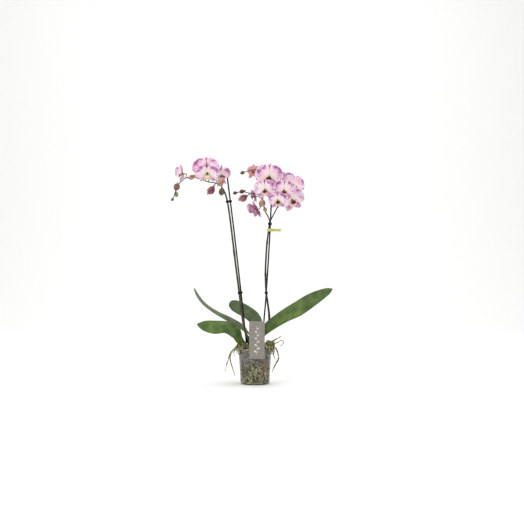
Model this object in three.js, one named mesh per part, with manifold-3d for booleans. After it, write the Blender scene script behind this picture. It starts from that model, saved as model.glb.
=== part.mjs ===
// Potted moth orchid: a clear grow pot of bark, a rooted crown, four leaves, and two staked
// flower spikes with their blooms and buds. Millimetres, +Z up, seen from -Y.
// The origin is the middle of the pot's underside.
import * as THREE from "three";
import { mergeVertices } from "three/addons/utils/BufferGeometryUtils.js";
import Module from "manifold-3d";

const wasm = await Module();
wasm.setup();

// Clearance between pieces that touch
const GAP = 0.3;

// Corners closer together than this become one
const WELD = 2e-3;

// Grow pot: a thin tapered cup with a rim band and drainage holes
const POT_HEIGHT = 113;
const POT_WALL = 1.2;
const POT_RIM_RADIUS = 57;
const POT_BAND_RADIUS = 54.6;
const POT_BAND_BOTTOM = 92;
const POT_SHOULDER_RADIUS = 52;
const POT_FOOT_RADIUS = 46.5;
const POT_FOOT_CHAMFER = 3;
const POT_SIDES = 32;
const DRAIN_COUNT = 6;
const DRAIN_RADIUS = 5;
const DRAIN_CIRCLE = 27;

// Bark filling
const BARK_TOP = 100;
const BARK_MOUND = 5;
const CHIP_COUNT = 10;

// Crown, which is the short stem that carries leaves, roots and spikes
const CROWN_RADIUS = 11;
const CROWN_BOTTOM = 84;
const CROWN_TOP = 158;

// Supports
const STAKE_RADIUS = 2.3;
const STEM_RADIUS = 3.3;
const CLIP_WALL = 1.2;
const CLIP_HEIGHT = 7;

// Bloom at size 1
const TEPAL_THICKNESS = 0.9;
const HUB_RADIUS = 4.4;
const HUB_BACK = 3.2;
const HUB_FRONT = 2.6;
const COLUMN_LENGTH = 8.5;

const { degToRad } = THREE.MathUtils;
const vec = (x, y, z) => new THREE.Vector3(x, y, z);
const curveThrough = (points) =>
  new THREE.CatmullRomCurve3(points.map((p) => vec(...p)), false, "catmullrom", 0.5);

// Seeded random numbers from 0 to 1
function dice(seed) {
  let state = seed;
  return () => {
    state = (state * 16807) % 2147483647;
    return state / 2147483647;
  };
}

// Solids and geometries

function solidOf(geometry) {
  const bare = geometry.clone();
  bare.deleteAttribute("normal");
  bare.deleteAttribute("uv");
  const merged = mergeVertices(bare, 1e-4);
  const solid = new wasm.Manifold(
    new wasm.Mesh({
      numProp: 3,
      vertProperties: merged.attributes.position.array,
      triVerts: new Uint32Array(merged.index.array),
    }),
  );
  return solid;
}

function geometryOf(solid) {
  const { vertProperties, triVerts, numProp, numVert } = solid.getMesh();
  const positions = new Float32Array(numVert * 3);
  for (let i = 0; i < numVert; i++) {
    positions.set(vertProperties.subarray(i * numProp, i * numProp + 3), i * 3);
  }
  const raw = new THREE.BufferGeometry();
  raw.setAttribute("position", new THREE.BufferAttribute(positions, 3));
  raw.setIndex(new THREE.BufferAttribute(new Uint32Array(triVerts), 1));
  const geometry = mergeVertices(raw, WELD);
  const corners = geometry.index.array;
  const kept = [];
  for (let i = 0; i < corners.length; i += 3) {
    const [a, b, c] = corners.slice(i, i + 3);
    if (a !== b && b !== c && c !== a) kept.push(a, b, c);
  }
  geometry.setIndex(kept);
  geometry.computeVertexNormals();
  return geometry;
}

const joined = (solids) => solids.reduce((whole, next) => whole.add(next));
const largest = (solid) => solid.decompose().sort((a, b) => b.volume() - a.volume())[0];

// A closed surface from points and triangles, turned to face outwards
function closedSolid(points, triangles) {
  let volume = 0;
  for (const [a, b, c] of triangles) {
    volume += points[a].dot(points[b].clone().cross(points[c]));
  }
  const facing = volume > 0 ? triangles : triangles.map(([a, b, c]) => [a, c, b]);
  const geometry = new THREE.BufferGeometry().setFromPoints(points);
  geometry.setIndex(facing.flat());
  return solidOf(geometry);
}

// Rings of equal count, skinned and closed with a fan at each end
function skinned(rings) {
  const sides = rings[0].length;
  const points = rings.flat();
  const triangles = [];
  for (let i = 0; i + 1 < rings.length; i++) {
    for (let j = 0; j < sides; j++) {
      const a = i * sides + j;
      const b = i * sides + ((j + 1) % sides);
      triangles.push([a, b, b + sides], [a, b + sides, a + sides]);
    }
  }
  const last = (rings.length - 1) * sides;
  for (let j = 1; j + 1 < sides; j++) {
    triangles.push([0, j + 1, j], [last, last + j, last + j + 1]);
  }
  return closedSolid(points, triangles);
}

// A rod along a curve whose radius follows its length
function rod(curve, radiusAt, sides, steps) {
  const rings = [];
  let across = null;
  for (let i = 0; i <= steps; i++) {
    const t = i / steps;
    const middle = curve.getPoint(t);
    const along = curve.getTangent(t);
    if (!across) {
      across = Math.abs(along.z) > 0.9 ? vec(1, 0, 0) : vec(0, 0, 1);
    }
    across = across.clone().addScaledVector(along, -across.dot(along)).normalize();
    const upright = along.clone().cross(across);
    rings.push(
      Array.from({ length: sides }, (_, j) => {
        const turn = (2 * Math.PI * j) / sides;
        return middle
          .clone()
          .addScaledVector(across, Math.cos(turn) * radiusAt(t))
          .addScaledVector(upright, Math.sin(turn) * radiusAt(t));
      }),
    );
  }
  return skinned(rings);
}

// A blade of even thickness round surface(t, v), with t from 0 to 1 and v from -1 to 1
function blade(surface, rows, columns, thickness) {
  const step = 1e-3;
  const front = [];
  const back = [];
  for (let i = 0; i <= rows; i++) {
    for (let j = 0; j <= columns; j++) {
      const t = i / rows;
      const v = (2 * j) / columns - 1;
      const along = surface(Math.min(t + step, 1), v).sub(surface(Math.max(t - step, 0), v));
      const across = surface(t, v + step).sub(surface(t, v - step));
      const normal = across.cross(along).normalize();
      const middle = surface(t, v);
      front.push(middle.clone().addScaledVector(normal, thickness / 2));
      back.push(middle.clone().addScaledVector(normal, -thickness / 2));
    }
  }
  const at = (i, j) => i * (columns + 1) + j;
  const other = front.length;
  const triangles = [];
  for (let i = 0; i < rows; i++) {
    for (let j = 0; j < columns; j++) {
      const [a, b, c, d] = [at(i, j), at(i + 1, j), at(i + 1, j + 1), at(i, j + 1)];
      triangles.push([a, d, c], [a, c, b]);
      triangles.push([a + other, c + other, d + other], [a + other, b + other, c + other]);
    }
  }
  const edge = [];
  for (let j = 0; j < columns; j++) edge.push(at(0, j));
  for (let i = 0; i < rows; i++) edge.push(at(i, columns));
  for (let j = columns; j > 0; j--) edge.push(at(rows, j));
  for (let i = rows; i > 0; i--) edge.push(at(i, 0));
  edge.forEach((a, k) => {
    const b = edge[(k + 1) % edge.length];
    triangles.push([b, a, a + other], [b, a + other, b + other]);
  });
  return closedSolid([...front, ...back], triangles);
}

// A value that runs smoothly through evenly spaced stops
function through(stops, t) {
  const place = Math.min(Math.max(t, 0), 1) * (stops.length - 1);
  const i = Math.min(Math.floor(place), stops.length - 2);
  const s = place - i;
  const before = stops[Math.max(i - 1, 0)];
  const after = stops[Math.min(i + 2, stops.length - 1)];
  const [a, b] = [stops[i], stops[i + 1]];
  return (
    a +
    0.5 * s * (b - before
      + s * (2 * before - 5 * a + 4 * b - after + s * (3 * (a - b) + after - before)))
  );
}

// Materials

const finish = (color, roughness) =>
  new THREE.MeshStandardMaterial({ color, roughness, metalness: 0 });
const clearPlastic = new THREE.MeshStandardMaterial({
  color: "#c9ccc8",
  roughness: 0.15,
  transparent: true,
  opacity: 0.35,
});
const bark = finish("#5a4030", 0.95);
const crownGreen = finish("#4d5a30", 0.6);
const rootSkin = finish("#8f9270", 0.8);
const leafGreen = finish("#4e6b2c", 0.45);
const spikeGreen = finish("#4a4c38", 0.55);
const stakePlastic = finish("#22231f", 0.5);
const petalPink = finish("#e8bfdc", 0.6);
const lipPeach = finish("#c98a70", 0.5);
const budRose = finish("#a86a68", 0.6);
const cardGrey = finish("#97928a", 0.85);
const labelYellow = finish("#dfe07a", 0.7);

const orchid = new THREE.Group();

function place(name, solid, material, holder = orchid) {
  const mesh = new THREE.Mesh(geometryOf(solid), material);
  mesh.name = name;
  holder.add(mesh);
  return mesh;
}

// Grow pot

const potInside = POT_SHOULDER_RADIUS - POT_WALL;
const footInside = POT_FOOT_RADIUS - POT_WALL;

function potSolid() {
  const profile = [
    [0, 0],
    [POT_FOOT_RADIUS - POT_FOOT_CHAMFER, 0],
    [POT_FOOT_RADIUS, POT_FOOT_CHAMFER],
    [POT_SHOULDER_RADIUS, POT_BAND_BOTTOM],
    [POT_BAND_RADIUS, POT_BAND_BOTTOM + 2],
    [POT_BAND_RADIUS + 0.6, POT_HEIGHT - 2],
    [POT_RIM_RADIUS, POT_HEIGHT - 1.5],
    [POT_RIM_RADIUS, POT_HEIGHT],
    [POT_BAND_RADIUS + 0.6 - POT_WALL, POT_HEIGHT],
    [POT_BAND_RADIUS - POT_WALL, POT_BAND_BOTTOM + 2],
    [potInside, POT_BAND_BOTTOM],
    [footInside, POT_FOOT_CHAMFER],
    [footInside - 1.5, POT_WALL],
    [0, POT_WALL],
  ];
  const cup = new THREE.LatheGeometry(
    profile.map(([r, z]) => new THREE.Vector2(r, z)),
    POT_SIDES,
  );
  cup.rotateX(Math.PI / 2);
  let solid = solidOf(cup);
  for (let k = 0; k < DRAIN_COUNT; k++) {
    const turn = (2 * Math.PI * k) / DRAIN_COUNT;
    const drain = new THREE.CylinderGeometry(DRAIN_RADIUS, DRAIN_RADIUS, 8, 8);
    drain.rotateX(Math.PI / 2);
    drain.translate(DRAIN_CIRCLE * Math.cos(turn), DRAIN_CIRCLE * Math.sin(turn), 0);
    solid = solid.subtract(solidOf(drain));
  }
  return solid;
}

// Crown with the roots that run down through the bark to the pot's wall

const crownCurve = curveThrough([
  [0, 1, CROWN_BOTTOM],
  [0, 1, 115],
  [-1, 0, 140],
  [-2, 1, CROWN_TOP],
]);
const crownRadiusAt = (t) => CROWN_RADIUS * through([0.55, 0.9, 1, 0.9, 0.45], t);

// Each inner root: compass turn where it meets the wall, its lowest point, drift round the wall
const INNER_ROOTS = [
  { turn: -150, low: 22, drift: 50 },
  { turn: -95, low: 34, drift: -45 },
  { turn: -35, low: 18, drift: 55 },
  { turn: 40, low: 26, drift: 40 },
];
const INNER_ROOT_RADIUS = 2.2;

function wallPoint(turn, z, inset) {
  const share = (z - POT_FOOT_CHAMFER) / (POT_BAND_BOTTOM - POT_FOOT_CHAMFER);
  const radius = footInside + (potInside - footInside) * share - inset;
  return [radius * Math.cos(degToRad(turn)), radius * Math.sin(degToRad(turn)), z];
}

function innerRoot({ turn, low, drift }, grown) {
  const inset = INNER_ROOT_RADIUS + 1.2;
  const high = 88;
  const curve = curveThrough([
    [2 * Math.cos(degToRad(turn)), 1 + 2 * Math.sin(degToRad(turn)), CROWN_BOTTOM + 8],
    wallPoint(turn, high, 22),
    wallPoint(turn + drift * 0.15, high - 16, inset),
    wallPoint(turn + drift * 0.5, (high + low) / 2, inset),
    wallPoint(turn + drift, low, inset),
  ]);
  return rod(curve, () => INNER_ROOT_RADIUS + grown, 4, 6);
}

// Bark filling, with chips raised on its top

function barkSolid(stakeCurves) {
  const ring = (radius, z) =>
    Array.from({ length: 24 }, (_, k) => {
      const turn = (2 * Math.PI * k) / 24;
      const knobbly = 1 - 0.012 * (1 + Math.sin(5 * turn + z * 0.31) * Math.cos(3 * turn - z * 0.17));
      return vec(radius * knobbly * Math.cos(turn), radius * knobbly * Math.sin(turn), z);
    });
  const clearOf = (z) => Math.hypot(...wallPoint(0, z, 0.8).slice(0, 2));
  let solid = skinned([
    ring(footInside - 3.2, POT_WALL + GAP),
    ring(clearOf(12), 12),
    ring(clearOf(40), 40),
    ring(clearOf(68), 68),
    ring(clearOf(90), 90),
    ring(clearOf(90) - 4, BARK_TOP),
    ring(24, BARK_TOP + BARK_MOUND),
  ]);
  const roll = dice(41);
  for (let k = 0; k < CHIP_COUNT; k++) {
    const turn = k * 2.399963;
    const away = 15 + 31 * Math.sqrt((k + 0.5) / CHIP_COUNT);
    const chip = new THREE.BoxGeometry(9 + 7 * roll(), 6 + 5 * roll(), 4 + 3 * roll());
    chip.rotateX(0.7 * (roll() - 0.5));
    chip.rotateY(0.7 * (roll() - 0.5));
    chip.rotateZ(6.3 * roll());
    const drop = BARK_MOUND * Math.max(0, (away - 24) / 24);
    const height = BARK_TOP + BARK_MOUND - drop;
    chip.translate(away * Math.cos(turn) * 0.94, away * Math.sin(turn) * 0.94, height);
    solid = solid.add(solidOf(chip));
  }
  solid = solid.subtract(rod(crownCurve, (t) => crownRadiusAt(t) + GAP, 10, 8));
  for (const root of INNER_ROOTS) solid = solid.subtract(innerRoot(root, GAP));
  for (const curve of stakeCurves) {
    solid = solid.subtract(rod(curve, () => STAKE_RADIUS + GAP, 8, 6));
  }
  return largest(solid);
}

// Roots in the air, which leave the crown, cross the rim and hang outside the pot

const LEFT_ROOTS = [
  {
    radius: 2.3,
    points: [[-11.9, -1.8, 114], [-27, -5, 119], [-48, -5, 121], [-60, -9, 115], [-72, -14, 104],
      [-79, -16, 88], [-77, -16, 70], [-70, -14, 47], [-64, -13, 27]],
  },
  {
    radius: 2,
    points: [[-11.9, -1, 114], [-24, 9, 119], [-48, 11, 121], [-66, 6, 112], [-80, 2, 95],
      [-86, -1, 74], [-92, -2, 56], [-95, -1, 40]],
  },
  {
    radius: 1.9,
    points: [[-11.9, -1.8, 114], [-32, -11, 117], [-50, -16, 120], [-60, -21, 113], [-67, -24, 101],
      [-64, -24, 90]],
  },
];
const RIGHT_ROOTS = [
  {
    radius: 2.7,
    points: [[10.5, -3.9, 114], [32, -14, 121], [52, -18, 121], [66, -19, 115], [73, -20, 98],
      [75, -19, 82], [68, -17, 68], [60, -16, 52], [55, -16, 40]],
  },
  {
    radius: 2.4,
    points: [[10.5, -3.9, 114], [30, -26, 119], [44, -36, 120], [55, -39, 110], [60, -40, 92],
      [66, -38, 76]],
  },
  { radius: 2, points: [[10.5, -3.9, 114], [32, -4, 122], [54, 2, 134], [86, 6, 152]] },
  {
    radius: 1.5,
    points: [[10.5, -3.9, 114], [44, -7, 124], [70, -10, 131], [84, -12, 139], [91, -13, 133],
      [85, -13, 124], [76, -13, 121]],
  },
];

const rootTaper = (t) => through([0.9, 1.1, 1, 0.95, 0.85, 0.45], t);

function rootBunch(roots) {
  return joined(
    roots.map(({ radius, points }) =>
      rod(curveThrough(points), (t) => radius * rootTaper(t), 5, Math.ceil(1.3 * points.length)),
    ),
  );
}

// Leaves: the line of the midrib, the way across at each end and half-way, and the half-width along it
const LEAVES = {
  leaf_right_long: {
    rib: [
      [7, -3, 138], [22, -12, 158], [43, -21, 180], [91, -26, 213], [137, -27, 238],
      [184, -27, 269], [228, -28, 294], [246, -28, 304],
    ],
    across: [[0.5, -0.75, -0.3], [0.42, -0.66, -0.62], [0.3, -0.5, -0.8]],
    half: [8, 15, 22, 26, 29, 25, 14, 3],
    fold: 0.16,
  },
  leaf_left_long: {
    rib: [
      [-8, 0.5, 150], [-24, 17, 166], [-44, 25, 184], [-82, 20, 208], [-124, 12, 231],
      [-158, 8, 255], [-180, 4, 281], [-194, 0, 305],
    ],
    across: [
      [-0.1, -0.9, -0.3], [0.24, -0.8, 0.45], [0.22, -0.84, 0.38], [0.15, -0.92, 0.26],
      [0.16, -0.92, 0.28], [0.2, -0.9, 0.35],
    ],
    half: [8, 13, 18, 22, 23, 21, 17, 7],
    fold: 0.2,
  },
  leaf_left_low: {
    rib: [
      [-6, -6, 119.5], [-28, -20, 126], [-47, -30, 143], [-60, -35, 167], [-90, -37, 184],
      [-126, -34, 184], [-160, -27, 188], [-184, -23, 191],
    ],
    across: [[-0.3, -0.85, -0.3], [-0.42, -0.6, -0.62], [-0.1, -0.55, -0.83], [0.05, -0.5, -0.85]],
    half: [7, 9, 17, 23, 22, 24, 18, 5],
    fold: 0.12,
  },
  leaf_back: {
    rib: [
      [5.5, 8, 142], [8, 17, 164], [6, 26, 190], [-4, 34, 210], [-24, 40, 226], [-48, 46, 239],
      [-68, 49, 249], [-84, 49, 256],
    ],
    across: [[-0.8, -0.5, -0.1], [-0.55, -0.45, -0.7], [-0.1, -0.5, -0.86]],
    half: [8, 15, 20, 22, 22, 22, 20, 11],
    fold: 0.1,
  },
};
const LEAF_THICKNESS = 2;

function leafSolid({ rib, across, half, fold }, grown) {
  const curve = curveThrough(rib);
  const surface = (t, v) => {
    const along = curve.getTangent(t);
    const side = vec(...[0, 1, 2].map((k) => through(across.map((a) => a[k]), t)));
    side.addScaledVector(along, -side.dot(along)).normalize();
    const up = side.clone().cross(along);
    const width = through(half, t) + grown;
    return curve
      .getPoint(t)
      .addScaledVector(along, grown * (2 * t - 1))
      .addScaledVector(side, v * width)
      .addScaledVector(up, fold * width * Math.abs(v));
  };
  return blade(surface, 11, 4, LEAF_THICKNESS + 2 * grown);
}

// Stakes and flower stems

const STAKES = {
  stake_left: [[-15, 2, 16], [-27, 2, 123], [-42.5, 2, 271], [-67.5, 2, 490], [-88.6, 2, 659]],
  stake_right: [
    [14, 9, 16], [21.5, 8.5, 118], [29, 6, 205], [36, 3.8, 290], [46, 3.6, 450],
    [52, 3.6, 574],
  ],
};

const SPIKES = {
  left: {
    node: "flower_stem_left",
    joints: [0.17, 0.36, 0.55],
    main: [
      [-13.7, -4.2, 129], [-20.2, -5.4, 140], [-31, -6, 165], [-41, -5.4, 215], [-50.2, -3.6, 290],
      [-60.6, -2.5, 370], [-72.2, -2, 465], [-81.5, -1.5, 540], [-89, -1, 585], [-96.6, 1, 611],
      [-107, 8, 630],
    ],
    branches: {
      arch: [
        [-96.6, 1, 611], [-107, 8, 630], [-125, 15, 642], [-150, 18, 647], [-175, 15, 655],
        [-200, 10, 662], [-222, 6, 658], [-240, 3, 643], [-250, 1, 624], [-256, 0, 606],
        [-261, -2, 594],
      ],
    },
  },
  right: {
    node: "flower_stem_right",
    joints: [0.3, 0.62, 0.82],
    main: [
      [13.5, -2.4, 130], [24.4, 0.8, 147], [41, 1, 184], [45.5, -0.5, 214], [40, -2, 262],
      [36, -2.6, 290], [33.6, -2.4, 340], [34, -2.4, 380], [37.6, -2.4, 440],
      [42.5, -2.4, 482], [47.8, -2.8, 520],
    ],
    branches: {
      upper: [
        [47.8, -2.8, 518], [56, -1, 534], [69, 2, 559], [84, 7, 588], [96, 13, 616],
        [97, 17, 642], [84, 19, 664], [60, 19, 677], [30, 17, 684], [4, 13, 686], [-18, 9, 682],
        [-30, 6, 678],
      ],
      lower: [
        [47.8, -2.8, 518], [42, -5, 533], [33, -8, 550], [27, -8, 570], [22, -6, 588],
        [12, -3, 602], [-2, -1, 608], [-16, 0, 609], [-30, 1, 612], [-42, 1, 615], [-54, 0, 612],
      ],
    },
  },
};

// Blooms and opening buds. At is the middle of the face; facing 0 looks to -Y and 90 to +X,
// tilt lifts the face, roll turns it, spread is how far the tepals still lean forward, and
// from says which branch carries it, how far along it, and a point that its stalk passes.
const BLOOMS = [
  {
    name: "right_1", at: [72, -58, 583], facing: 2, tilt: -20, roll: -4,
    size: 0.78, spread: 14, from: ["upper", 0.2], via: [74, -22, 564],
  },
  {
    name: "right_2", at: [92, -36, 615], facing: 4, tilt: -6, roll: 3,
    size: 0.88, spread: 2, from: ["upper", 0.4],
  },
  {
    name: "right_3", at: [118, -11, 586], facing: 12, tilt: -6, roll: -18,
    size: 1, spread: 0, from: ["upper", 0.28],
  },
  {
    name: "right_4", at: [122, 6, 633], facing: 24, tilt: 2, roll: 4,
    size: 0.94, spread: 0, from: ["upper", 0.42],
  },
  {
    name: "right_5", at: [45, -14, 660], facing: -3, tilt: -2, roll: 3,
    size: 1.08, spread: 0, from: ["upper", 0.63],
  },
  {
    name: "right_6", at: [98, 40, 648], facing: 150, tilt: 14, roll: 0,
    size: 0.86, spread: 0, from: ["upper", 0.5],
  },
  {
    name: "right_7", at: [-6, 30, 680], facing: 165, tilt: 6, roll: 0,
    size: 0.68, spread: 27, from: ["upper", 0.86],
  },
  {
    name: "right_8", at: [32, -38, 617], facing: -6, tilt: -6, roll: -3,
    size: 0.86, spread: 2, from: ["lower", 0.4],
  },
  {
    name: "right_9", at: [0, 39, 602], facing: -105, tilt: 0, roll: 0,
    size: 0.66, spread: 12, from: ["lower", 0.5],
  },
  {
    name: "right_10", at: [5, 0, 556], facing: -126, tilt: -16, roll: 0,
    size: 0.8, spread: 20, from: ["lower", 0.33],
  },
  {
    name: "left_1", at: [-157, -2, 684], facing: 0, tilt: 8, roll: 2,
    size: 1.05, spread: 0, from: ["arch", 0.34],
  },
  {
    name: "left_2", at: [-150, -36, 671], facing: -3, tilt: -32, roll: 0,
    size: 1.0, spread: 15, from: ["arch", 0.27], via: [-147, -4, 646],
  },
  {
    name: "left_3", at: [-112, 34, 668], facing: 58, tilt: 10, roll: 0,
    size: 0.9, spread: 27, from: ["arch", 0.2],
  },
  {
    name: "left_4", at: [-230, -12, 669.5], facing: -64, tilt: 2, roll: 0,
    size: 0.8, spread: 24, from: ["arch", 0.6],
  },
];
const OPENING = [
  {
    name: "right_opening_1", at: [-26, -8, 600], facing: -55, tilt: -30,
    size: 0.78, from: ["lower", 0.68],
  },
  {
    name: "right_opening_2", at: [24, -16, 588], facing: -10, tilt: -60,
    size: 0.74, from: ["lower", 0.3],
  },
  {
    name: "left_opening_1", at: [-132, -8, 630], facing: -50, tilt: -55,
    size: 0.8, from: ["arch", 0.24],
  },
  {
    name: "left_opening_2", at: [-108, -10, 655], facing: -20, tilt: -65,
    size: 0.72, from: ["arch", 0.13],
  },
  {
    name: "left_opening_3", at: [-193, -3, 665], facing: -60, tilt: -30,
    size: 0.56, from: ["arch", 0.48],
  },
];
const BUDS = [
  { name: "right_bud_1", at: [-33, 4, 677], facing: -80, tilt: -20, length: 15, from: ["upper", 0.96] },
  {
    name: "right_bud_2", at: [-34, -9, 616], facing: -75, tilt: -20,
    length: 17, from: ["lower", 0.82],
  },
  {
    name: "right_bud_3", at: [-57, -1, 611], facing: -80, tilt: -15,
    length: 14, from: ["lower", 0.96],
  },
  { name: "right_bud_4", at: [31, -13, 561], facing: 20, tilt: -50, length: 16, from: ["lower", 0.2] },
  {
    name: "left_bud_1", at: [-246, -14, 638], facing: -30, tilt: -60,
    length: 25, from: ["arch", 0.79],
  },
  { name: "left_bud_2", at: [-254, 7, 614], facing: 160, tilt: -65, length: 18, from: ["arch", 0.88] },
  { name: "left_bud_3", at: [-262, -3, 593], facing: -40, tilt: -60, length: 11, from: ["arch", 0.96] },
  { name: "left_bud_4", at: [-105, -9, 624], facing: -30, tilt: -75, length: 24, from: ["arch", 0.06] },
];

const facingOf = ({ facing, tilt }) =>
  vec(
    Math.sin(degToRad(facing)) * Math.cos(degToRad(tilt)),
    -Math.cos(degToRad(facing)) * Math.cos(degToRad(tilt)),
    Math.sin(degToRad(tilt)),
  );

function branchSolid(points, thick, thin, steps) {
  return rod(curveThrough(points), (t) => THREE.MathUtils.lerp(thick, thin, t), 5, steps);
}

// A flower's stalk, from its branch to a flat end just behind the flower
function stalkSolid(item, branches, seat) {
  const [branch, along] = item.from;
  const back = facingOf(item).negate();
  const end = vec(...item.at).addScaledVector(back, seat + GAP);
  const approach = end.clone().addScaledVector(back, item.length ? 3 : 9);
  const points = [curveThrough(branches[branch]).getPoint(along)];
  if (item.via) points.push(vec(...item.via));
  points.push(approach, end);
  const curve = new THREE.CatmullRomCurve3(points, false, "catmullrom", 0.5);
  return rod(curve, (t) => 1.1 + 0.7 * t, 4, item.via ? 6 : 3);
}

// The stem swells into a ring where a leaf scale clasps it
function stemRadiusAt(joints) {
  return (t) => {
    const swelling = joints.reduce((sum, at) => sum + Math.exp(-(((t - at) / 0.012) ** 2)), 0);
    return STEM_RADIUS * (1.12 - 0.36 * t) + 0.7 * Math.min(swelling, 1);
  };
}

function spikeSolid(spike, riders) {
  const { main, joints, branches } = spike;
  const stem = rod(curveThrough(main), stemRadiusAt(joints), 6, 28);
  const arms = Object.values(branches).map((points) =>
    branchSolid(points, 2.1, 1.2, Math.ceil(1.6 * points.length)),
  );
  const stalks = riders.map((item) =>
    stalkSolid(item, branches, item.length ? 0 : HUB_BACK * item.size),
  );
  return largest(joined([stem, ...arms, ...stalks]));
}

// Bloom

// Tepals round the face: turn from straight up, length, width, seat along the axis, lean forward
// at the root and at the tip, curl of the edges, where the widest part lies, how blunt the root
// and the tip are, and how far the tepal follows the flower as it closes
const SEPAL = {
  width: 28, seat: -1.8, root: -3, curl: -0.05, early: 0.9, blunt: [0.9, 0.6], rows: 3, columns: 2,
};
const PETAL = {
  length: 45, width: 57, seat: 1.4, root: 9, tip: -5, curl: 0.04, early: 1.1, blunt: [0.95, 0.5],
  rows: 4, columns: 3,
};
const TEPALS = [
  { ...SEPAL, turn: 0, length: 42, tip: -6, follow: 1 },
  { ...SEPAL, turn: 141, length: 39, tip: -4, follow: 0.5 },
  { ...SEPAL, turn: -141, length: 39, tip: -4, follow: 0.5 },
  { ...PETAL, turn: 62, follow: 1 },
  { ...PETAL, turn: -62, follow: 1 },
];

// Open flowers lean forward by one angle; half-open ones close again over their middle
const openForm = (spread) => ({
  rootLean: spread,
  tipLean: 0.9 * spread,
  narrow: 1 - 0.009 * spread,
  even: 0,
  tepals: 5,
});
const HALF_OPEN = { rootLean: 34, tipLean: 112, narrow: 0.96, even: 1, tepals: 3 };

function tepalSurface(tepal, { rootLean, tipLean, narrow, even }) {
  const follow = Math.max(tepal.follow, even);
  const root = degToRad(tepal.root + follow * rootLean);
  const tip = degToRad(tepal.tip + follow * tipLean);
  const turned = degToRad(tepal.turn);
  return (t, v) => {
    const share = 0.05 + 0.942 * (1 - (1 - t) ** 1.35);
    const blunt = THREE.MathUtils.lerp(tepal.blunt[0], tepal.blunt[1], share);
    const half = (narrow * tepal.width * Math.sin(Math.PI * share ** tepal.early) ** blunt) / 2;
    const along = share * tepal.length;
    const wide = v * half;
    const out = Math.hypot(along, wide);
    const lean = root + ((tip - root) * out) / tepal.length;
    const bend = (tip - root) / tepal.length;
    const reach = (Math.sin(lean) - Math.sin(root)) / bend;
    const rise = (Math.cos(root) - Math.cos(lean)) / bend;
    const angle = turned + (Math.atan2(wide, along) * out) / reach;
    const curl = tepal.curl * half * v * v;
    const flat = reach - Math.sin(lean) * curl;
    const height = tepal.seat + rise + Math.cos(lean) * curl;
    return vec(flat * Math.sin(angle), flat * Math.cos(angle), height);
  };
}

function hubSolid() {
  return skinned(
    [
      [0, -HUB_BACK, HUB_RADIUS * 0.6],
      [0, -1.6, HUB_RADIUS],
      [0, HUB_FRONT, HUB_RADIUS * 0.9],
      [-0.4, HUB_FRONT + COLUMN_LENGTH * 0.5, 2.7],
      [-1.2, HUB_FRONT + COLUMN_LENGTH, 1.6],
    ].map(([y, z, radius]) =>
      Array.from({ length: 6 }, (_, k) => {
        const turn = (Math.PI * (2 * k + 1)) / 6;
        return vec(radius * Math.sin(turn), y + radius * Math.cos(turn), z);
      }),
    ),
  );
}

function flowerSolid(form) {
  const tepals = TEPALS.slice(0, form.tepals).map((tepal) =>
    blade(tepalSurface(tepal, form), tepal.rows, tepal.columns, TEPAL_THICKNESS),
  );
  return largest(joined([hubSolid(), ...tepals]));
}

// Lip: a trough with raised side lobes that narrows, then widens into a pointed tongue
function lipSurface(t, v) {
  const y = through([-5.2, -6.8, -9.6, -12.6, -15.4, -17.6], t);
  const z = through([3.6, 8.6, 12, 13.8, 14.6, 14.2], t);
  const half = through([2.4, 9.4, 9, 7.6, 5.4, 1], t);
  const raised = through([0.5, 7.5, 5.5, 3, 1, 0], t);
  return vec(v * half, y + raised * v * v, z + 0.25 * raised * v * v);
}

// A bud: an egg with three soft ridges, from its stalk at 0 to its point
function budSolid(length) {
  const stops = [0.14, 0.33, 0.4, 0.4, 0.31, 0.1];
  return skinned(
    stops.map((share, i) =>
      Array.from({ length: 9 }, (_, k) => {
        const turn = (2 * Math.PI * k) / 9;
        const radius = length * share * (1 + 0.06 * Math.cos(3 * turn));
        return vec(radius * Math.sin(turn), radius * Math.cos(turn), (length * i) / (stops.length - 1));
      }),
    ),
  );
}

// A flower's own frame: x to its right, y up its face, z the way it faces
function flowerFrame({ at, facing, tilt, roll = 0 }) {
  const frame = new THREE.Group();
  frame.position.set(...at);
  frame.rotation.set(degToRad(90 - tilt), 0, degToRad(facing), "ZXY");
  const turned = new THREE.Group();
  turned.rotation.z = degToRad(-roll);
  frame.add(turned);
  orchid.add(frame);
  return turned;
}

// Clips hold a stem to its stake: a ring with an oval hole round both

function clipSolid(stem, stake, height, tall) {
  const heightOf = (curve) => {
    let [low, high] = [0, 1];
    for (let k = 0; k < 40; k++) {
      const half = (low + high) / 2;
      if (curve.getPoint(half).z < height) low = half;
      else high = half;
    }
    return low;
  };
  const a = stem.getPoint(heightOf(stem));
  const b = stake.getPoint(heightOf(stake));
  const along = stake.getTangent(heightOf(stake));
  const apart = b.clone().sub(a);
  const across = apart.clone().addScaledVector(along, -apart.dot(along));
  const distance = across.length();
  const stadium = (radius) => {
    const shape = [];
    for (let k = 0; k <= 5; k++) {
      const turn = Math.PI / 2 + (Math.PI * k) / 5;
      shape.push([radius * Math.cos(turn), radius * Math.sin(turn)]);
    }
    for (let k = 0; k <= 5; k++) {
      const turn = -Math.PI / 2 + (Math.PI * k) / 5;
      shape.push([distance + radius * Math.cos(turn), radius * Math.sin(turn)]);
    }
    return shape.map(([x, y]) => new THREE.Vector2(x, y));
  };
  const hole = STEM_RADIUS + 0.6;
  const outline = new THREE.Shape(stadium(hole + CLIP_WALL));
  outline.holes.push(new THREE.Path(stadium(hole)));
  const ring = new THREE.ExtrudeGeometry(outline, { depth: tall, bevelEnabled: false });
  ring.translate(0, 0, -tall / 2);
  const x = across.normalize();
  ring.applyMatrix4(new THREE.Matrix4().makeBasis(x, along.clone().cross(x), along).setPosition(a));
  return solidOf(ring);
}

// Yellow label looped round the right-hand stem and its stake, with a short flag
const LABEL = { height: 491, tall: 9, flagFrom: 53.2, flagTo: 84, flagDepth: 4.2 };

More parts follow.
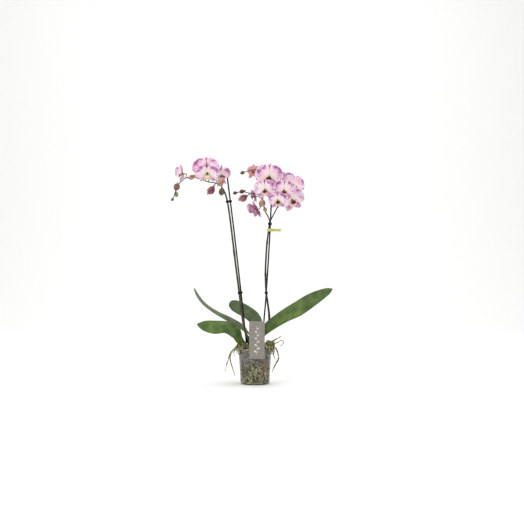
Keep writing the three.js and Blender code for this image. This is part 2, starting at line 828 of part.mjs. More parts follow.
function labelSolid() {
  const { height, tall, flagFrom, flagTo, flagDepth } = LABEL;
  const flag = new THREE.BoxGeometry(flagTo - flagFrom, 1, tall);
  flag.translate((flagFrom + flagTo) / 2, flagDepth, height);
  return clipSolid(mainOf.right, curveOf.stake_right, height, tall).add(solidOf(flag));
}

// Care card hooked over the pot's rim

const CARD = { width: 49, low: 85, high: 203, thickness: 1, middle: 6.5 };

function cardSolid() {
  const { width, low, high, thickness, middle } = CARD;
  const rimFront = Math.sqrt(POT_RIM_RADIUS ** 2 - (middle + width / 2) ** 2);
  const face = -POT_RIM_RADIUS - GAP - thickness;
  const side = new THREE.Shape();
  const top = POT_HEIGHT + GAP;
  const inside = -rimFront;
  side.moveTo(face, low);
  side.lineTo(face, high);
  side.lineTo(face + thickness, high);
  side.lineTo(face + thickness, low);
  const plate = new THREE.ExtrudeGeometry(side, { depth: width, bevelEnabled: false });
  plate.applyMatrix4(new THREE.Matrix4().makeBasis(vec(0, 1, 0), vec(0, 0, 1), vec(1, 0, 0)));
  plate.translate(middle - width / 2, 0, 0);
  const hook = new THREE.Shape();
  const wallInside = -(POT_BAND_RADIUS - POT_WALL) + GAP + 1.4;
  hook.moveTo(face + thickness / 2, top);
  hook.lineTo(face + thickness / 2, top + thickness);
  hook.lineTo(wallInside + thickness, top + thickness);
  hook.lineTo(wallInside + thickness, top - 6);
  hook.lineTo(wallInside, top - 6);
  hook.lineTo(wallInside, top);
  const tongue = new THREE.ExtrudeGeometry(hook, { depth: 12, bevelEnabled: false });
  tongue.applyMatrix4(new THREE.Matrix4().makeBasis(vec(0, 1, 0), vec(0, 0, 1), vec(1, 0, 0)));
  tongue.translate(-6, 0, 0);
  return solidOf(plate).add(solidOf(tongue));
}

// Building the plant

const curveOf = Object.fromEntries(
  Object.entries(STAKES).map(([name, points]) => [name, curveThrough(points)]),
);
const mainOf = Object.fromEntries(
  Object.entries(SPIKES).map(([name, spike]) => [name, curveThrough(spike.main)]),
);

place("clear_pot", potSolid(), clearPlastic);
place("bark_filling", barkSolid(Object.values(curveOf)), bark);

const leafCutters = Object.values(LEAVES).map((leaf) => leafSolid(leaf, GAP));
let crown = joined([
  rod(crownCurve, crownRadiusAt, 10, 8),
  ...INNER_ROOTS.map((root) => innerRoot(root, 0)),
]);
for (const cutter of leafCutters) crown = crown.subtract(cutter);
place("crown_and_roots", crown, crownGreen);
for (const [name, leaf] of Object.entries(LEAVES)) {
  place(name, leafSolid(leaf, 0), leafGreen);
}
place("air_roots_left", rootBunch(LEFT_ROOTS), rootSkin);
place("air_roots_right", rootBunch(RIGHT_ROOTS), rootSkin);

for (const [name, curve] of Object.entries(curveOf)) {
  place(name, rod(curve, () => STAKE_RADIUS, 8, 10), stakePlastic);
}
for (const [side, spike] of Object.entries(SPIKES)) {
  const riders = [...BLOOMS, ...OPENING, ...BUDS].filter((item) => item.name.startsWith(side));
  place(spike.node, spikeSolid(spike, riders), spikeGreen);
}
const CLIPS = [
  ["clip_left_low", "left", 290],
  ["clip_left_high", "left", 582],
  ["clip_right_low", "right", 290],
  ["clip_right_high", "right", 511],
];
for (const [name, side, height] of CLIPS) {
  place(name, clipSolid(mainOf[side], curveOf["stake_" + side], height, CLIP_HEIGHT), stakePlastic);
}

for (const bloom of BLOOMS) {
  const frame = flowerFrame(bloom);
  frame.scale.setScalar(bloom.size);
  place(`bloom_${bloom.name}`, flowerSolid(openForm(bloom.spread)), petalPink, frame);
  place(`lip_${bloom.name}`, blade(lipSurface, 4, 3, 1), lipPeach, frame);
}
for (const flower of OPENING) {
  const frame = flowerFrame(flower);
  frame.scale.setScalar(flower.size);
  place(flower.name, flowerSolid(HALF_OPEN), budRose, frame);
}
for (const bud of BUDS) {
  place(bud.name, budSolid(bud.length), budRose, flowerFrame(bud));
}

place("care_card", cardSolid(), cardGrey);
place("yellow_label", labelSolid(), labelYellow);

export default orchid;
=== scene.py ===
"""A potted moth orchid: clear grow pot, bark, roots, leaves, two staked flower spikes, labels."""
import random
from collections import namedtuple
from math import atan2, copysign, cos, exp, hypot, pi, radians, sin, sqrt

import bmesh
import bpy
from mathutils import Euler, Matrix, Vector, kdtree, noise


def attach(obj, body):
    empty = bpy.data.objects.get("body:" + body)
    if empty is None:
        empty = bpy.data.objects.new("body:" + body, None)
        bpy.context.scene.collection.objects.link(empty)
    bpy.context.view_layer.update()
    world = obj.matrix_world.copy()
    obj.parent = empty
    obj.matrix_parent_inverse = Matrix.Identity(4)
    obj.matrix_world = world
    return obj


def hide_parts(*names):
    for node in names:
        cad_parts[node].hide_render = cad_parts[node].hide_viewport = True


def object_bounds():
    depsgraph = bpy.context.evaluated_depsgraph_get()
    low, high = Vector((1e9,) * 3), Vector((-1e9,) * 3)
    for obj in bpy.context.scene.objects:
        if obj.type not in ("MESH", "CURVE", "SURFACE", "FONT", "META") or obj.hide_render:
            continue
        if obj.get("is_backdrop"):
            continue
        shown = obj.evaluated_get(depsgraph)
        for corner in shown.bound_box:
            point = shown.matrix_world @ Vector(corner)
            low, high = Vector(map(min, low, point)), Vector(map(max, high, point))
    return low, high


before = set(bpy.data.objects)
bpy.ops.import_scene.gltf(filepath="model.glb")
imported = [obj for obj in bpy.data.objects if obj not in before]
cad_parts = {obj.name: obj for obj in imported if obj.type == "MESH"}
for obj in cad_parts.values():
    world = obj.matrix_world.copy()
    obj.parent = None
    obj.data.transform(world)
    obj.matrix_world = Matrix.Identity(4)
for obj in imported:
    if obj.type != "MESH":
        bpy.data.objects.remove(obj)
cad_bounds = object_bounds()

# Camera
# It looks level along +Y from nearly three metres off, as the photograph was taken.
camera = bpy.data.objects.new("camera", bpy.data.cameras.new("camera"))
bpy.context.collection.objects.link(camera)
camera.data.sensor_width = 36
camera.data.lens = 61.83
camera.location = (0.0224, -2.88, 0.3888)
camera.rotation_euler = (radians(90), 0, 0)
bpy.context.scene.camera = camera


# Studio
# A white paper sweep: level floor, then a wide bend up into a wall. Large softboxes light it
# from both sides and above, so shadows stay faint and the paper reads as plain white.
def linear(code):
    parts = [int(code[k : k + 2], 16) / 255 for k in (0, 2, 4)]
    return [p / 12.92 if p <= 0.04045 else ((p + 0.055) / 1.055) ** 2.4 for p in parts] + [1.0]


def add(tree, kind, links=None, stops=None, **settings):
    """Adds one shader node with its properties, its inputs and its ramp's stops. An input is a
    value, a socket, or a node whose first output is meant."""
    made = tree.nodes.new("ShaderNode" + kind)
    for name, value in settings.items():
        setattr(made, name, value)
    for name, value in (links or {}).items():
        if isinstance(value, bpy.types.Node):
            value = value.outputs[0]
        if isinstance(value, bpy.types.NodeSocket):
            tree.links.new(value, made.inputs[name])
        else:
            made.inputs[name].default_value = value
    for index, (place, code) in enumerate(stops or []):
        ramp = made.color_ramp.elements
        stop = ramp[index] if index < 2 else ramp.new(place)
        stop.position = place
        stop.color = linear(code)
    return made


def new_material(name):
    """An empty material, its node tree, and the place of each point on the object."""
    material = bpy.data.materials.new(name)
    material.use_nodes = True
    tree = material.node_tree
    tree.nodes.clear()
    return material, tree, add(tree, "TexCoord").outputs["Object"]


def per(mm):
    """The scale at which a pattern in object coordinates repeats about every so many mm."""
    return 1000.0 / mm


def mesh_piece(name, points, faces, *materials, smooth=True, shades=None, maps=None):
    """An object at the origin, from points in mm. Maps give each point its place in a UV map."""
    mesh = bpy.data.meshes.new(name)
    mesh.from_pydata([(x / 1000, y / 1000, z / 1000) for x, y, z in points], [], faces)
    for map_name, places in (maps or {}).items():
        layer = mesh.uv_layers.new(name=map_name)
        corners = [c for loop in mesh.loops for c in places[loop.vertex_index]]
        layer.data.foreach_set("uv", corners)
    for material in materials:
        mesh.materials.append(material)
    mesh.polygons.foreach_set("use_smooth", [smooth] * len(mesh.polygons))
    if shades:
        mesh.polygons.foreach_set("material_index", shades)
    form = bmesh.new()
    form.from_mesh(mesh)
    bmesh.ops.recalc_face_normals(form, faces=form.faces)
    form.to_mesh(mesh)
    form.free()
    piece = bpy.data.objects.new(name, mesh)
    bpy.context.collection.objects.link(piece)
    return piece


def clouded(tree, where, scale, tones, **texture):
    """A cloudy pattern, and the tones that a ramp makes of it."""
    cloud = add(tree, "TexNoise", {"Vector": where, "Scale": scale, **texture})
    return cloud, add(tree, "ValToRGB", {"Fac": cloud}, tones)


def mottled(name, patch, detail, tones, surface, ragged=0.5, relief=None):
    """A material that changes tone over patches of so many mm. Its relief, given as a strength
    and a depth in metres, follows them."""
    material, tree, place = new_material(name)
    cloud, tone = clouded(tree, place, per(patch), tones, Detail=detail, Roughness=ragged)
    surface = {"Base Color": tone, **surface}
    if relief:
        surface["Normal"] = add(tree, "Bump", {"Height": cloud, "Strength": relief[0],
                                               "Distance": relief[1]})
    add(tree, "OutputMaterial", {"Surface": add(tree, "BsdfPrincipled", surface)})
    return material


# Uncoated paper: matt, with a grain that hardly shows.
paper = mottled("matt_white_paper", 3, 3, [(0.3, "f6f6f5"), (0.7, "f9f9f8")],
                {"Roughness": 0.95, "Specular IOR Level": 0.1})
FLOOR_FRONT, BEND_START, BEND, WALL_TOP, HALF_WIDTH = -4200, 2200, 1400, 5200, 5000
bend = [(BEND_START + BEND * sin(a * pi / 40), BEND - BEND * cos(a * pi / 40)) for a in range(21)]
sweep_line = [(FLOOR_FRONT, 0)] + bend + [(BEND_START + BEND, WALL_TOP)]
sweep = mesh_piece(
    "paper_sweep", [(x, y, z) for y, z in sweep_line for x in (-HALF_WIDTH, HALF_WIDTH)],
    [(2 * i, 2 * i + 1, 2 * i + 3, 2 * i + 2) for i in range(len(sweep_line) - 1)], paper)
sweep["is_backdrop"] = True

SOFTBOXES = [
    {"name": "softbox_left", "at": (-2.3, -2.2, 2.1), "size": 1.9, "watts": 34},
    {"name": "softbox_right", "at": (2.4, -2.0, 1.9), "size": 1.9, "watts": 24},
    {"name": "softbox_top", "at": (0.1, 0.2, 2.9), "size": 2.4, "watts": 34},
    {"name": "softbox_wall", "at": (0, 1.2, 3.6), "size": 2.6, "watts": 34, "aim": (0, 4.4, 1.2)},
]
for box in SOFTBOXES:
    lamp = bpy.data.lights.new(box["name"], "AREA")
    lamp.size = box["size"]
    lamp.energy = box["watts"]
    holder = bpy.data.objects.new(box["name"], lamp)
    holder.location = box["at"]
    ray = Vector(box.get("aim", (0, 0, 0.4))) - holder.location
    holder.rotation_euler = ray.to_track_quat("-Z", "Y").to_euler()
    bpy.context.collection.objects.link(holder)

world = bpy.data.worlds.new("studio_room")
world.use_nodes = True
background = world.node_tree.nodes["Background"]
background.inputs["Color"].default_value = linear("ffffff")
background.inputs["Strength"].default_value = 0.6
bpy.context.scene.world = world
bpy.context.scene.view_settings.view_transform = "Standard"

# Grow pot
# A round tapered cup of clear polypropylene, blow-thin, with a stepped rim band and drainage
# holes in its foot. Its inside is hazed by damp, root tips and mineral salts from watering.
POT_LINE = [(0, 0), (43.5, 0), (46.5, 3), (52, 92), (54.6, 94), (55.2, 111), (57, 111.5),
            (57, 113), (54, 113), (53.4, 94), (50.8, 92), (45.3, 3), (43.8, 1.2), (0, 1.2)]
POT_SIDES = 128
DRAINS, DRAIN_CIRCLE, DRAIN_RADIUS = 6, 27, 5
CREASE = radians(35)


def around(turn, radius, z):
    """A point in mm, so far from the pot's middle line."""
    return (radius * cos(turn), radius * sin(turn), z)


def full_turn(steps):
    """So many evenly spread turns once round, in radians."""
    return [2 * pi * k / steps for k in range(steps)]


def lathe(line, sides):
    """Turns a line of (radius, height) round Z; radius 0 makes one middle point."""
    points, rows = [], []
    for radius, height in line:
        count = sides if radius > 0 else 1
        rows.append([len(points) + k for k in range(count)])
        points += [around(turn, radius, height) for turn in full_turn(count)]
    faces = []
    for low, high in zip(rows, rows[1:]):
        for k in range(sides):
            ring = [low[k % len(low)], low[(k + 1) % len(low)],
                    high[(k + 1) % len(high)], high[k % len(high)]]
            faces.append(tuple(dict.fromkeys(ring)))
    return points, faces


def skinned(rings, looped=False):
    """Joins rings of equally many points into one closed form, with flat ends or as a loop."""
    count, sides = len(rings), len(rings[0])
    faces = [
        (i * sides + k, i * sides + (k + 1) % sides,
         (i + 1) % count * sides + (k + 1) % sides, (i + 1) % count * sides + k)
        for i in range(count if looped else count - 1) for k in range(sides)
    ]
    if not looped:
        faces.append(tuple(range(sides))[::-1])
        faces.append(tuple(range((count - 1) * sides, count * sides)))
    return [point for ring in rings for point in ring], faces


def joined(parts):
    """Many forms as one mesh's points and faces."""
    points, faces = [], []
    for part_points, part_faces in parts:
        faces += [tuple(len(points) + k for k in face) for face in part_faces]
        points += part_points
    return points, faces


def cut_out(piece, form):
    """Cuts a closed form out of a piece, and drops the form."""
    cut = piece.modifiers.new("cut", "BOOLEAN")
    cut.object = form
    cut.solver = "EXACT"
    bpy.context.view_layer.objects.active = piece
    bpy.ops.object.modifier_apply(modifier="cut")
    bpy.data.objects.remove(form)


clear_plastic, tree, place = new_material("clear_polypropylene_moulded_hazed")
# Salts and damp leave soft cloudy patches with small specks, thicker below the rim. Seen
# edge-on the plastic turns cloudy white. Its rolled lip is painted near-white: partly the thicker
# plastic, partly a painted highlight along the rim.
cloud, tint = clouded(tree, place, per(22), [(0.3, "62615a"), (0.7, "94948a")], Detail=4,
                      Roughness=0.65)
specks = add(tree, "TexVoronoi", {"Vector": place, "Scale": per(3.8)})
dots = add(tree, "ValToRGB", {"Fac": specks}, [(0.2, "ffffff"), (0.38, "000000")])
patches = add(tree, "MapRange", {"Value": cloud, "From Min": 0.35, "From Max": 0.7, "To Min": -0.1,
                                 "To Max": 0.16})
split = add(tree, "SeparateXYZ", {"Vector": place})
height = add(tree, "MapRange", {"Value": split.outputs["Z"], "From Min": 0.042, "From Max": 0.09,
                                "To Min": 0.02, "To Max": 0.36}, interpolation_type="SMOOTHSTEP")
veil = add(tree, "Math", {0: patches, 1: height}, operation="ADD")
rolled = add(tree, "MapRange", {"Value": split.outputs["Z"], "From Min": 0.1108,
                                "From Max": 0.1116, "To Max": 0.6})
lipped = add(tree, "Math", {0: veil, 1: rolled}, operation="ADD")
haze = add(tree, "MixRGB", {"Fac": 0.3, "Color1": lipped, "Color2": dots}, blend_type="ADD")
grazing = add(tree, "LayerWeight", {"Blend": 0.35})
edge_on = add(tree, "MapRange", {"Value": grazing.outputs["Facing"], "From Min": 0.4,
                                 "From Max": 0.88, "To Max": 0.9})
opaque = add(tree, "MixRGB", {"Fac": 1.0, "Color1": haze, "Color2": edge_on}, blend_type="ADD",
             use_clamp=True)
salted = add(tree, "MixRGB", {"Fac": dots, "Color1": tint, "Color2": linear("c4c3ba")})
# The rolled lip's near-white is partly thicker plastic, partly a painted highlight.
milky_rim_and_highlight = add(tree, "MixRGB", {"Fac": rolled, "Color1": salted, "Color2": linear("dddcd5")})
skin = add(tree, "BsdfPrincipled", {"Base Color": milky_rim_and_highlight, "Roughness": 0.16, "IOR": 1.49,
                                    "Alpha": opaque})
add(tree, "OutputMaterial", {"Surface": skin})

pot = mesh_piece("grow_pot", *lathe(POT_LINE, POT_SIDES), clear_plastic)
punches = []
for bearing in full_turn(DRAINS):
    x, y, _ = around(bearing, DRAIN_CIRCLE, 0)
    punches.append(skinned([[(x + DRAIN_RADIUS * cos(turn), y + DRAIN_RADIUS * sin(turn), z)
                             for turn in full_turn(24)] for z in (-4, 5)]))
cut_out(pot, mesh_piece("drain_punch", *joined(punches)))
pot.data.polygons.foreach_set("use_smooth", [True] * len(pot.data.polygons))
form = bmesh.new()
form.from_mesh(pot.data)
for edge in form.edges:
    edge.smooth = len(edge.link_faces) < 2 or edge.calc_face_angle() < CREASE
form.to_mesh(pot.data)
form.free()
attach(pot, "root")
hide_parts("clear_pot")

# Bark filling
# Orchid bark: chips of pine bark, 4 to 12 mm, poured round a dark damp core, with strands of
# sphagnum moss and pale old roots pressed flat against the clear wall. It is only packed in.
def cubic(a, b, c, d, s):
    """Between b and c, at s from 0 to 1, on the smooth curve through all four."""
    return b + 0.5 * s * (c - a + s * (2 * a - 5 * b + 4 * c - d + s * (3 * (b - c) + d - a)))


def along(path, t):
    """The point at t, from 0 to 1, on a smooth curve through a path of points in mm."""
    place = min(max(t, 0), 1) * (len(path) - 1)
    i = min(int(place), len(path) - 2)
    b, c = Vector(path[i]), Vector(path[i + 1])
    a = Vector(path[i - 1]) if i > 0 else 2 * b - c
    d = Vector(path[i + 2]) if i + 2 < len(path) else 2 * c - b
    return cubic(a, b, c, d, place - i)


def heading(path, t, step=0.002):
    """The direction of the curve at t."""
    return (along(path, t + step) - along(path, t - step)).normalized()


def through(stops, t):
    """The value at t, from 0 to 1, on a smooth curve through evenly spaced values."""
    place = min(max(t, 0), 1) * (len(stops) - 1)
    i = min(int(place), len(stops) - 2)
    return cubic(stops[max(i - 1, 0)], stops[i], stops[i + 1],
                 stops[min(i + 2, len(stops) - 1)], place - i)


def rod(path, radius, steps, sides):
    """A round rod along a path; radius(t, turn) is in mm and both ends are slightly eased."""
    times = [0, 0.3 / steps] + [i / steps for i in range(1, steps)] + [1 - 0.3 / steps, 1]
    rings, across = [], None
    for index, t in enumerate(times):
        ahead = heading(path, t, 0.004)
        if across is None:
            across = ahead.orthogonal()
        across = (across - ahead * across.dot(ahead)).normalized()
        other = ahead.cross(across)
        ease = 0.72 if index in (0, len(times) - 1) else 1
        rings.append([
            along(path, t) + ease * radius(t, turn) * (cos(turn) * across + sin(turn) * other)
            for turn in full_turn(sides)
        ])
    return skinned(rings)


WALL_LOW, WALL_HIGH, FILL_FLOOR = 3, 92, 1.8


def wall_radius(z):
    """The radius of the pot's inner wall at a height."""
    return 45.3 + 5.5 * (z - WALL_LOW) / (WALL_HIGH - WALL_LOW)


def on_wall(turn, z, inset):
    """A point at so many degrees, so far inside the pot's wall."""
    return around(radians(turn), wall_radius(z) - inset, z)


# Inner roots: the degree at which each leaves, how low it comes, and how far it drifts sideways.
INNER_ROOTS = [(-150, 22, 50), (-95, 34, -45), (-35, 18, 55), (40, 26, 40)]
ROOT_INSET = 3.4
CROWN_LINE = [(0, 1, 84), (0, 1, 115), (-1, 0, 140), (-2, 1, 158)]
STAKE_LINES = {
    "stake_left": [(-15, 2, 16), (-27, 2, 123), (-42.5, 2, 271), (-67.5, 2, 490), (-88.6, 2, 659)],
    "stake_right": [(14, 9, 16), (21.5, 8.5, 118), (29, 6, 205), (36, 3.8, 290), (46, 3.6, 450),
                    (52, 3.6, 574)],
}


def inner_path(turn, low, drift):
    """An inner root: out of the crown to the clear wall, and down along it."""
    start = radians(turn)
    return [(2 * cos(start), 1 + 2 * sin(start), 92), on_wall(turn, 88, 22),
            on_wall(turn + 0.15 * drift, 72, ROOT_INSET),
            on_wall(turn + 0.5 * drift, (88 + low) / 2, ROOT_INSET),
            on_wall(turn + drift, low, ROOT_INSET)]


def crown_radius(t):
    """The crown is spindle-shaped along its line."""
    return 11 * through([0.55, 0.9, 1, 0.9, 0.45], t)


# Points along crown, roots and stakes, each with the distance at which the filling stops.
kept_free = [(along(CROWN_LINE, i / 24), crown_radius(i / 24) + 0.6) for i in range(25)]
for root in INNER_ROOTS:
    kept_free += [(along(inner_path(*root), i / 70), 2.8) for i in range(71)]
for line in STAKE_LINES.values():
    kept_free += [(along(line, i / 400), 2.9) for i in range(110)]
free_tree = kdtree.KDTree(len(kept_free))
for index, (centre, _) in enumerate(kept_free):
    free_tree.insert(centre, index)
free_tree.balance()


def settled(point, inset=0.95):
    """Moves a point clear of the pot's wall, the crown, the inner roots and the stakes."""
    for _ in range(2):
        centre, index, _ = free_tree.find(point)
        if (point - centre).length < kept_free[index][1]:
            point = centre + (point - centre).normalized() * kept_free[index][1]
    flat = hypot(point.x, point.y)
    most = wall_radius(min(max(point.z, WALL_LOW), WALL_HIGH)) - inset
    if flat > most:
        point = Vector((point.x * most / flat, point.y * most / flat, point.z))
    point.z = max(point.z, FILL_FLOOR)
    return point


def packed(form, inset=0.95):
    """A form with all its points moved clear."""
    points, faces = form
    return [settled(point, inset) for point in points], faces


# Wet fines between the chips: nearly black-brown, and matt.
damp_core = mottled("damp_bark_dust_packed", 2.2, 6, [(0.3, "1b140e"), (0.7, "4a3a2a")],
                    {"Roughness": 0.8}, relief=(0.7, 0.001))

pine_bark, tree, place = new_material("pine_bark_chipped")
# Layered bark: reddish brown to grey-brown bands across the thickness, pale where it was torn.
_, tone = clouded(tree, place, per(11), [(0.3, "1d1610"), (0.45, "3a3026"), (0.57, "664f2b"),
                                         (0.75, "5b5741")])
bands, torn = clouded(tree, place, per(1.3), [(0.32, "3a3029"), (0.7, "c9bda9")], Detail=5,
                      Roughness=0.7)
mixed = add(tree, "MixRGB", {"Fac": 0.6, "Color1": tone, "Color2": torn}, blend_type="OVERLAY")
# To the front and right the bark is fresh, and shows rust-brown through the wall.
FRESH_BARK = (0.031, -0.037, 0.064)
reach = add(tree, "VectorMath", {0: place, 1: FRESH_BARK}, operation="DISTANCE")
fresh = add(tree, "MapRange", {"Value": reach.outputs["Value"], "From Min": 0.012,
                               "From Max": 0.03, "To Min": 0.8, "To Max": 0})
rusty = add(tree, "MixRGB", {"Fac": fresh, "Color1": mixed, "Color2": linear("8a5226")})
relief = add(tree, "Bump", {"Height": bands, "Strength": 0.8, "Distance": 0.0008})
skin = add(tree, "BsdfPrincipled", {"Base Color": rusty, "Roughness": 0.85, "Normal": relief})
add(tree, "OutputMaterial", {"Surface": skin})

potted_root, tree, place = new_material("root_velamen_wet")
# Roots behind the wall take in water: their spongy skin turns pale green, cream where it dries.
_, tone = clouded(tree, place, per(9), [(0.32, "6f7549"), (0.5, "a3a578"), (0.68, "cdc7a2")],
                  Detail=4)
fine = add(tree, "TexNoise", {"Vector": place, "Scale": per(0.8), "Detail": 3})
relief = add(tree, "Bump", {"Height": fine, "Strength": 0.3, "Distance": 0.0004})
skin = add(tree, "BsdfPrincipled", {"Base Color": tone, "Roughness": 0.55, "Normal": relief})
add(tree, "OutputMaterial", {"Surface": skin})

# Thin dry strands, straw to olive, matt.
sphagnum = mottled("sphagnum_moss_dried", 6, 3, [(0.35, "6d6f3c"), (0.65, "b5a873")],
                   {"Roughness": 0.9})


def core_radius(z, turn):
    """The core stays behind the chips and is a little lumpy."""
    lump = noise.noise(Vector((3 * cos(turn), 3 * sin(turn), z / 13)))
    return (wall_radius(z) - 6.2) * (1 + 0.02 * lump)


heights = [FILL_FLOOR + (98 - FILL_FLOOR) * i / 30 for i in range(31)]
core_rings = [[around(turn, core_radius(z, turn), z) for turn in full_turn(64)] for z in heights]
core = mesh_piece("bark_core", *skinned(core_rings), damp_core)
hollows = [rod(CROWN_LINE, lambda t, turn: crown_radius(t) + 0.4, 10, 20)]
for line in [inner_path(*root) for root in INNER_ROOTS] + list(STAKE_LINES.values()):
    hollows.append(rod(line, lambda t, turn: 2.7, 24, 12))
for hollow in hollows:
    cut_out(core, mesh_piece("hollow", *hollow))

CHIPS_AT_WALL, CHIPS_ON_TOP, OLD_ROOTS, MOSS_AT_WALL, MOSS_ON_TOP = 560, 420, 70, 150, 260
dice = random.Random(7)
form = bmesh.new()
bmesh.ops.create_icosphere(form, subdivisions=2, radius=1)
ball_points = [v.co.copy() for v in form.verts]
ball_faces = [tuple(v.index for v in face.verts) for face in form.faces]
form.free()


def chip(centre, size, lie):
    """One torn chip: a ball squared off, flattened and roughened, then turned to lie flat."""
    shift = Vector((dice.random(), dice.random(), dice.random())) * 50
    points = []
    for p in ball_points:
        rough = 1 + 0.28 * noise.noise(p * 1.7 + shift)
        square = Vector([copysign(abs(c) ** 0.55, c) for c in p])
        points.append(centre + lie @ Vector([square[k] * size[k] * rough for k in range(3)]))
    return packed((points, ball_faces))


chips = []
for _ in range(CHIPS_AT_WALL):
    turn, z = dice.uniform(0, 2 * pi), dice.uniform(3, 98)
    centre = Vector(around(turn, wall_radius(z) - dice.uniform(2.2, 4.5), z))
    size = (dice.uniform(1, 2), dice.uniform(2.2, 5.5), dice.uniform(2, 4.5))
    lie = (Matrix.Rotation(turn, 3, "Z") @ Matrix.Rotation(dice.uniform(0, 6.3), 3, "X")
           @ Matrix.Rotation(dice.gauss(0, 0.25), 3, "Y"))
    chips.append(chip(centre, size, lie))
for _ in range(CHIPS_ON_TOP):
    turn, radius = dice.uniform(0, 2 * pi), 48 * sqrt(dice.random())
    heap = 103 + 7 * max(0, 1 - radius / 40) + dice.uniform(-3.5, 2.5)
    size = (dice.uniform(2, 5), dice.uniform(2, 5), dice.uniform(0.9, 2))
    lie = Euler((dice.gauss(0, 0.4), dice.gauss(0, 0.4), turn)).to_matrix()
    chips.append(chip(Vector(around(turn, radius, heap)), size, lie))
bark_chips = mesh_piece("bark_chips", *joined(chips), pine_bark)

# Old roots: they wind down behind the wall, thickest in the lower half of the pot.
old_roots = []
for _ in range(OLD_ROOTS):
    turn, z = dice.uniform(0, 360), 12 + 66 * dice.random() ** 1.5
    swing, path = dice.uniform(-9, 9), []
    for _ in range(8):
        path.append(on_wall(turn, max(z, 5), dice.uniform(2.2, 3.4)))
        turn += swing + dice.gauss(0, 7)
        z -= dice.uniform(1, 11)
    thick = dice.uniform(0.8, 1.8)
    old_roots.append(packed(rod(path, lambda t, turn: thick * (1 - 0.35 * t), 26, 9)))
pot_roots = mesh_piece("roots_behind_wall", *joined(old_roots), potted_root)

strands = []
for _ in range(MOSS_AT_WALL):
    turn, z = dice.uniform(0, 360), dice.uniform(4, 60)
    path = [Vector(on_wall(turn + dice.gauss(0, 4) * k, z + dice.gauss(0, 3) * k, 1.5))
            for k in range(4)]
    strands.append(packed(rod(path, lambda t, turn: 0.35, 8, 4)))
for _ in range(MOSS_ON_TOP):
    turn, radius = dice.uniform(0, 2 * pi), dice.uniform(13, 44)
    start = Vector(around(turn, radius, dice.uniform(104, 111)))
    path = [start + k * Vector((dice.gauss(0, 4), dice.gauss(0, 4), dice.uniform(-1, 3.4)))
            for k in range(4)]
    strands.append(packed(rod(path, lambda t, turn: 0.4, 8, 4), 2))
moss = mesh_piece("moss_strands", *joined(strands), sphagnum)
for piece in (core, bark_chips, pot_roots, moss):
    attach(piece, "root")
    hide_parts("bark_filling")

# Crown and inner roots
# The plant's short living stem, ringed by the scars of old leaf bases. Thick roots leave it
# under the bark, reach the clear wall and run down along it.
crown_skin, tree, place = new_material("crown_living_stem_scarred")
# Green under a brown, papery skin that is left where old leaves have dropped.
_, tone = clouded(tree, place, per(8), [(0.35, "59652f"), (0.55, "6f6a3d"), (0.7, "5a4630")],
                  Detail=5)
rings = add(tree, "TexWave", {"Vector": place, "Scale": per(30), "Distortion": 2.0, "Detail": 2},
            bands_direction="Z")
dark = add(tree, "MixRGB", {"Fac": 0.35, "Color1": tone, "Color2": rings.outputs["Color"]},
           blend_type="MULTIPLY")
relief = add(tree, "Bump", {"Height": rings.outputs["Fac"], "Strength": 0.5, "Distance": 0.0006})
skin = add(tree, "BsdfPrincipled", {"Base Color": dark, "Roughness": 0.5, "Normal": relief})
add(tree, "OutputMaterial", {"Surface": skin})

crown_parts = [rod(CROWN_LINE, lambda t, turn: crown_radius(t) * (0.985 + 0.015 * sin(26 * t)),
                   40, 32)]
for root in INNER_ROOTS:
    crown_parts.append(rod(inner_path(*root),
                           lambda t, turn: 2.2 * (0.95 + 0.05 * sin(31 * t + 2 * turn)), 60, 14))
points, faces = joined(crown_parts)
crown_faces = len(crown_parts[0][1])
crown = mesh_piece("crown_and_inner_roots", points, faces, crown_skin, potted_root,
                   shades=[0] * crown_faces + [1] * (len(faces) - crown_faces))
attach(crown, "root")
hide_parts("crown_and_roots")

# Leaves
# Thick waxy strap leaves that clasp the crown two by two. Each is one body with a sunken
# midrib above, a keel below and rounded edges; its upper face is glossy, its underside dull.

# Rib is its middle line, across the direction of its width, half its half widths, fold how far
# its edges are raised, and top tells on which side its upper face lies.
LEAVES = {
    "leaf_right_long": {
        "rib": [(7, -3, 138), (22, -12, 158), (43, -21, 180), (91, -26, 213), (137, -27, 238),
                (184, -27, 269), (228, -28, 294), (246, -28, 304)],
        "across": [(0.5, -0.75, -0.3), (0.42, -0.66, -0.62), (0.3, -0.5, -0.8)],
        "half": [8, 15, 22, 26, 29, 25, 14, 3], "fold": 0.16, "top": 1,
    },
    "leaf_left_long": {
        "rib": [(-8, 0.5, 150), (-24, 17, 166), (-44, 25, 184), (-82, 20, 208), (-124, 12, 231),
                (-158, 8, 255), (-180, 4, 281), (-194, 0, 305)],
        "across": [(-0.1, -0.9, -0.3), (0.24, -0.8, 0.45), (0.22, -0.84, 0.38),
                   (0.15, -0.92, 0.26), (0.16, -0.92, 0.28), (0.2, -0.9, 0.35)],
        "half": [8, 13, 18, 22, 23, 21, 17, 7], "fold": 0.2, "top": -1,
    },
    "leaf_left_low": {
        "rib": [(-6, -6, 119.5), (-28, -20, 126), (-47, -30, 143), (-60, -35, 167),
                (-90, -37, 184), (-126, -34, 184), (-160, -27, 188), (-184, -23, 191)],
        "across": [(-0.3, -0.85, -0.3), (-0.42, -0.6, -0.62), (-0.1, -0.55, -0.83),
                   (0.05, -0.5, -0.85)],
        "half": [7, 9, 17, 23, 22, 24, 18, 5], "fold": 0.12, "top": -1,
    },
    "leaf_back": {
        "rib": [(5.5, 8, 142), (8, 17, 164), (6, 26, 190), (-4, 34, 210), (-24, 40, 226),
                (-48, 46, 239), (-68, 49, 249), (-84, 49, 256)],
        "across": [(-0.8, -0.5, -0.1), (-0.55, -0.45, -0.7), (-0.1, -0.5, -0.86)],
        "half": [8, 15, 20, 22, 22, 22, 20, 11], "fold": 0.1, "top": -1,
    },
}


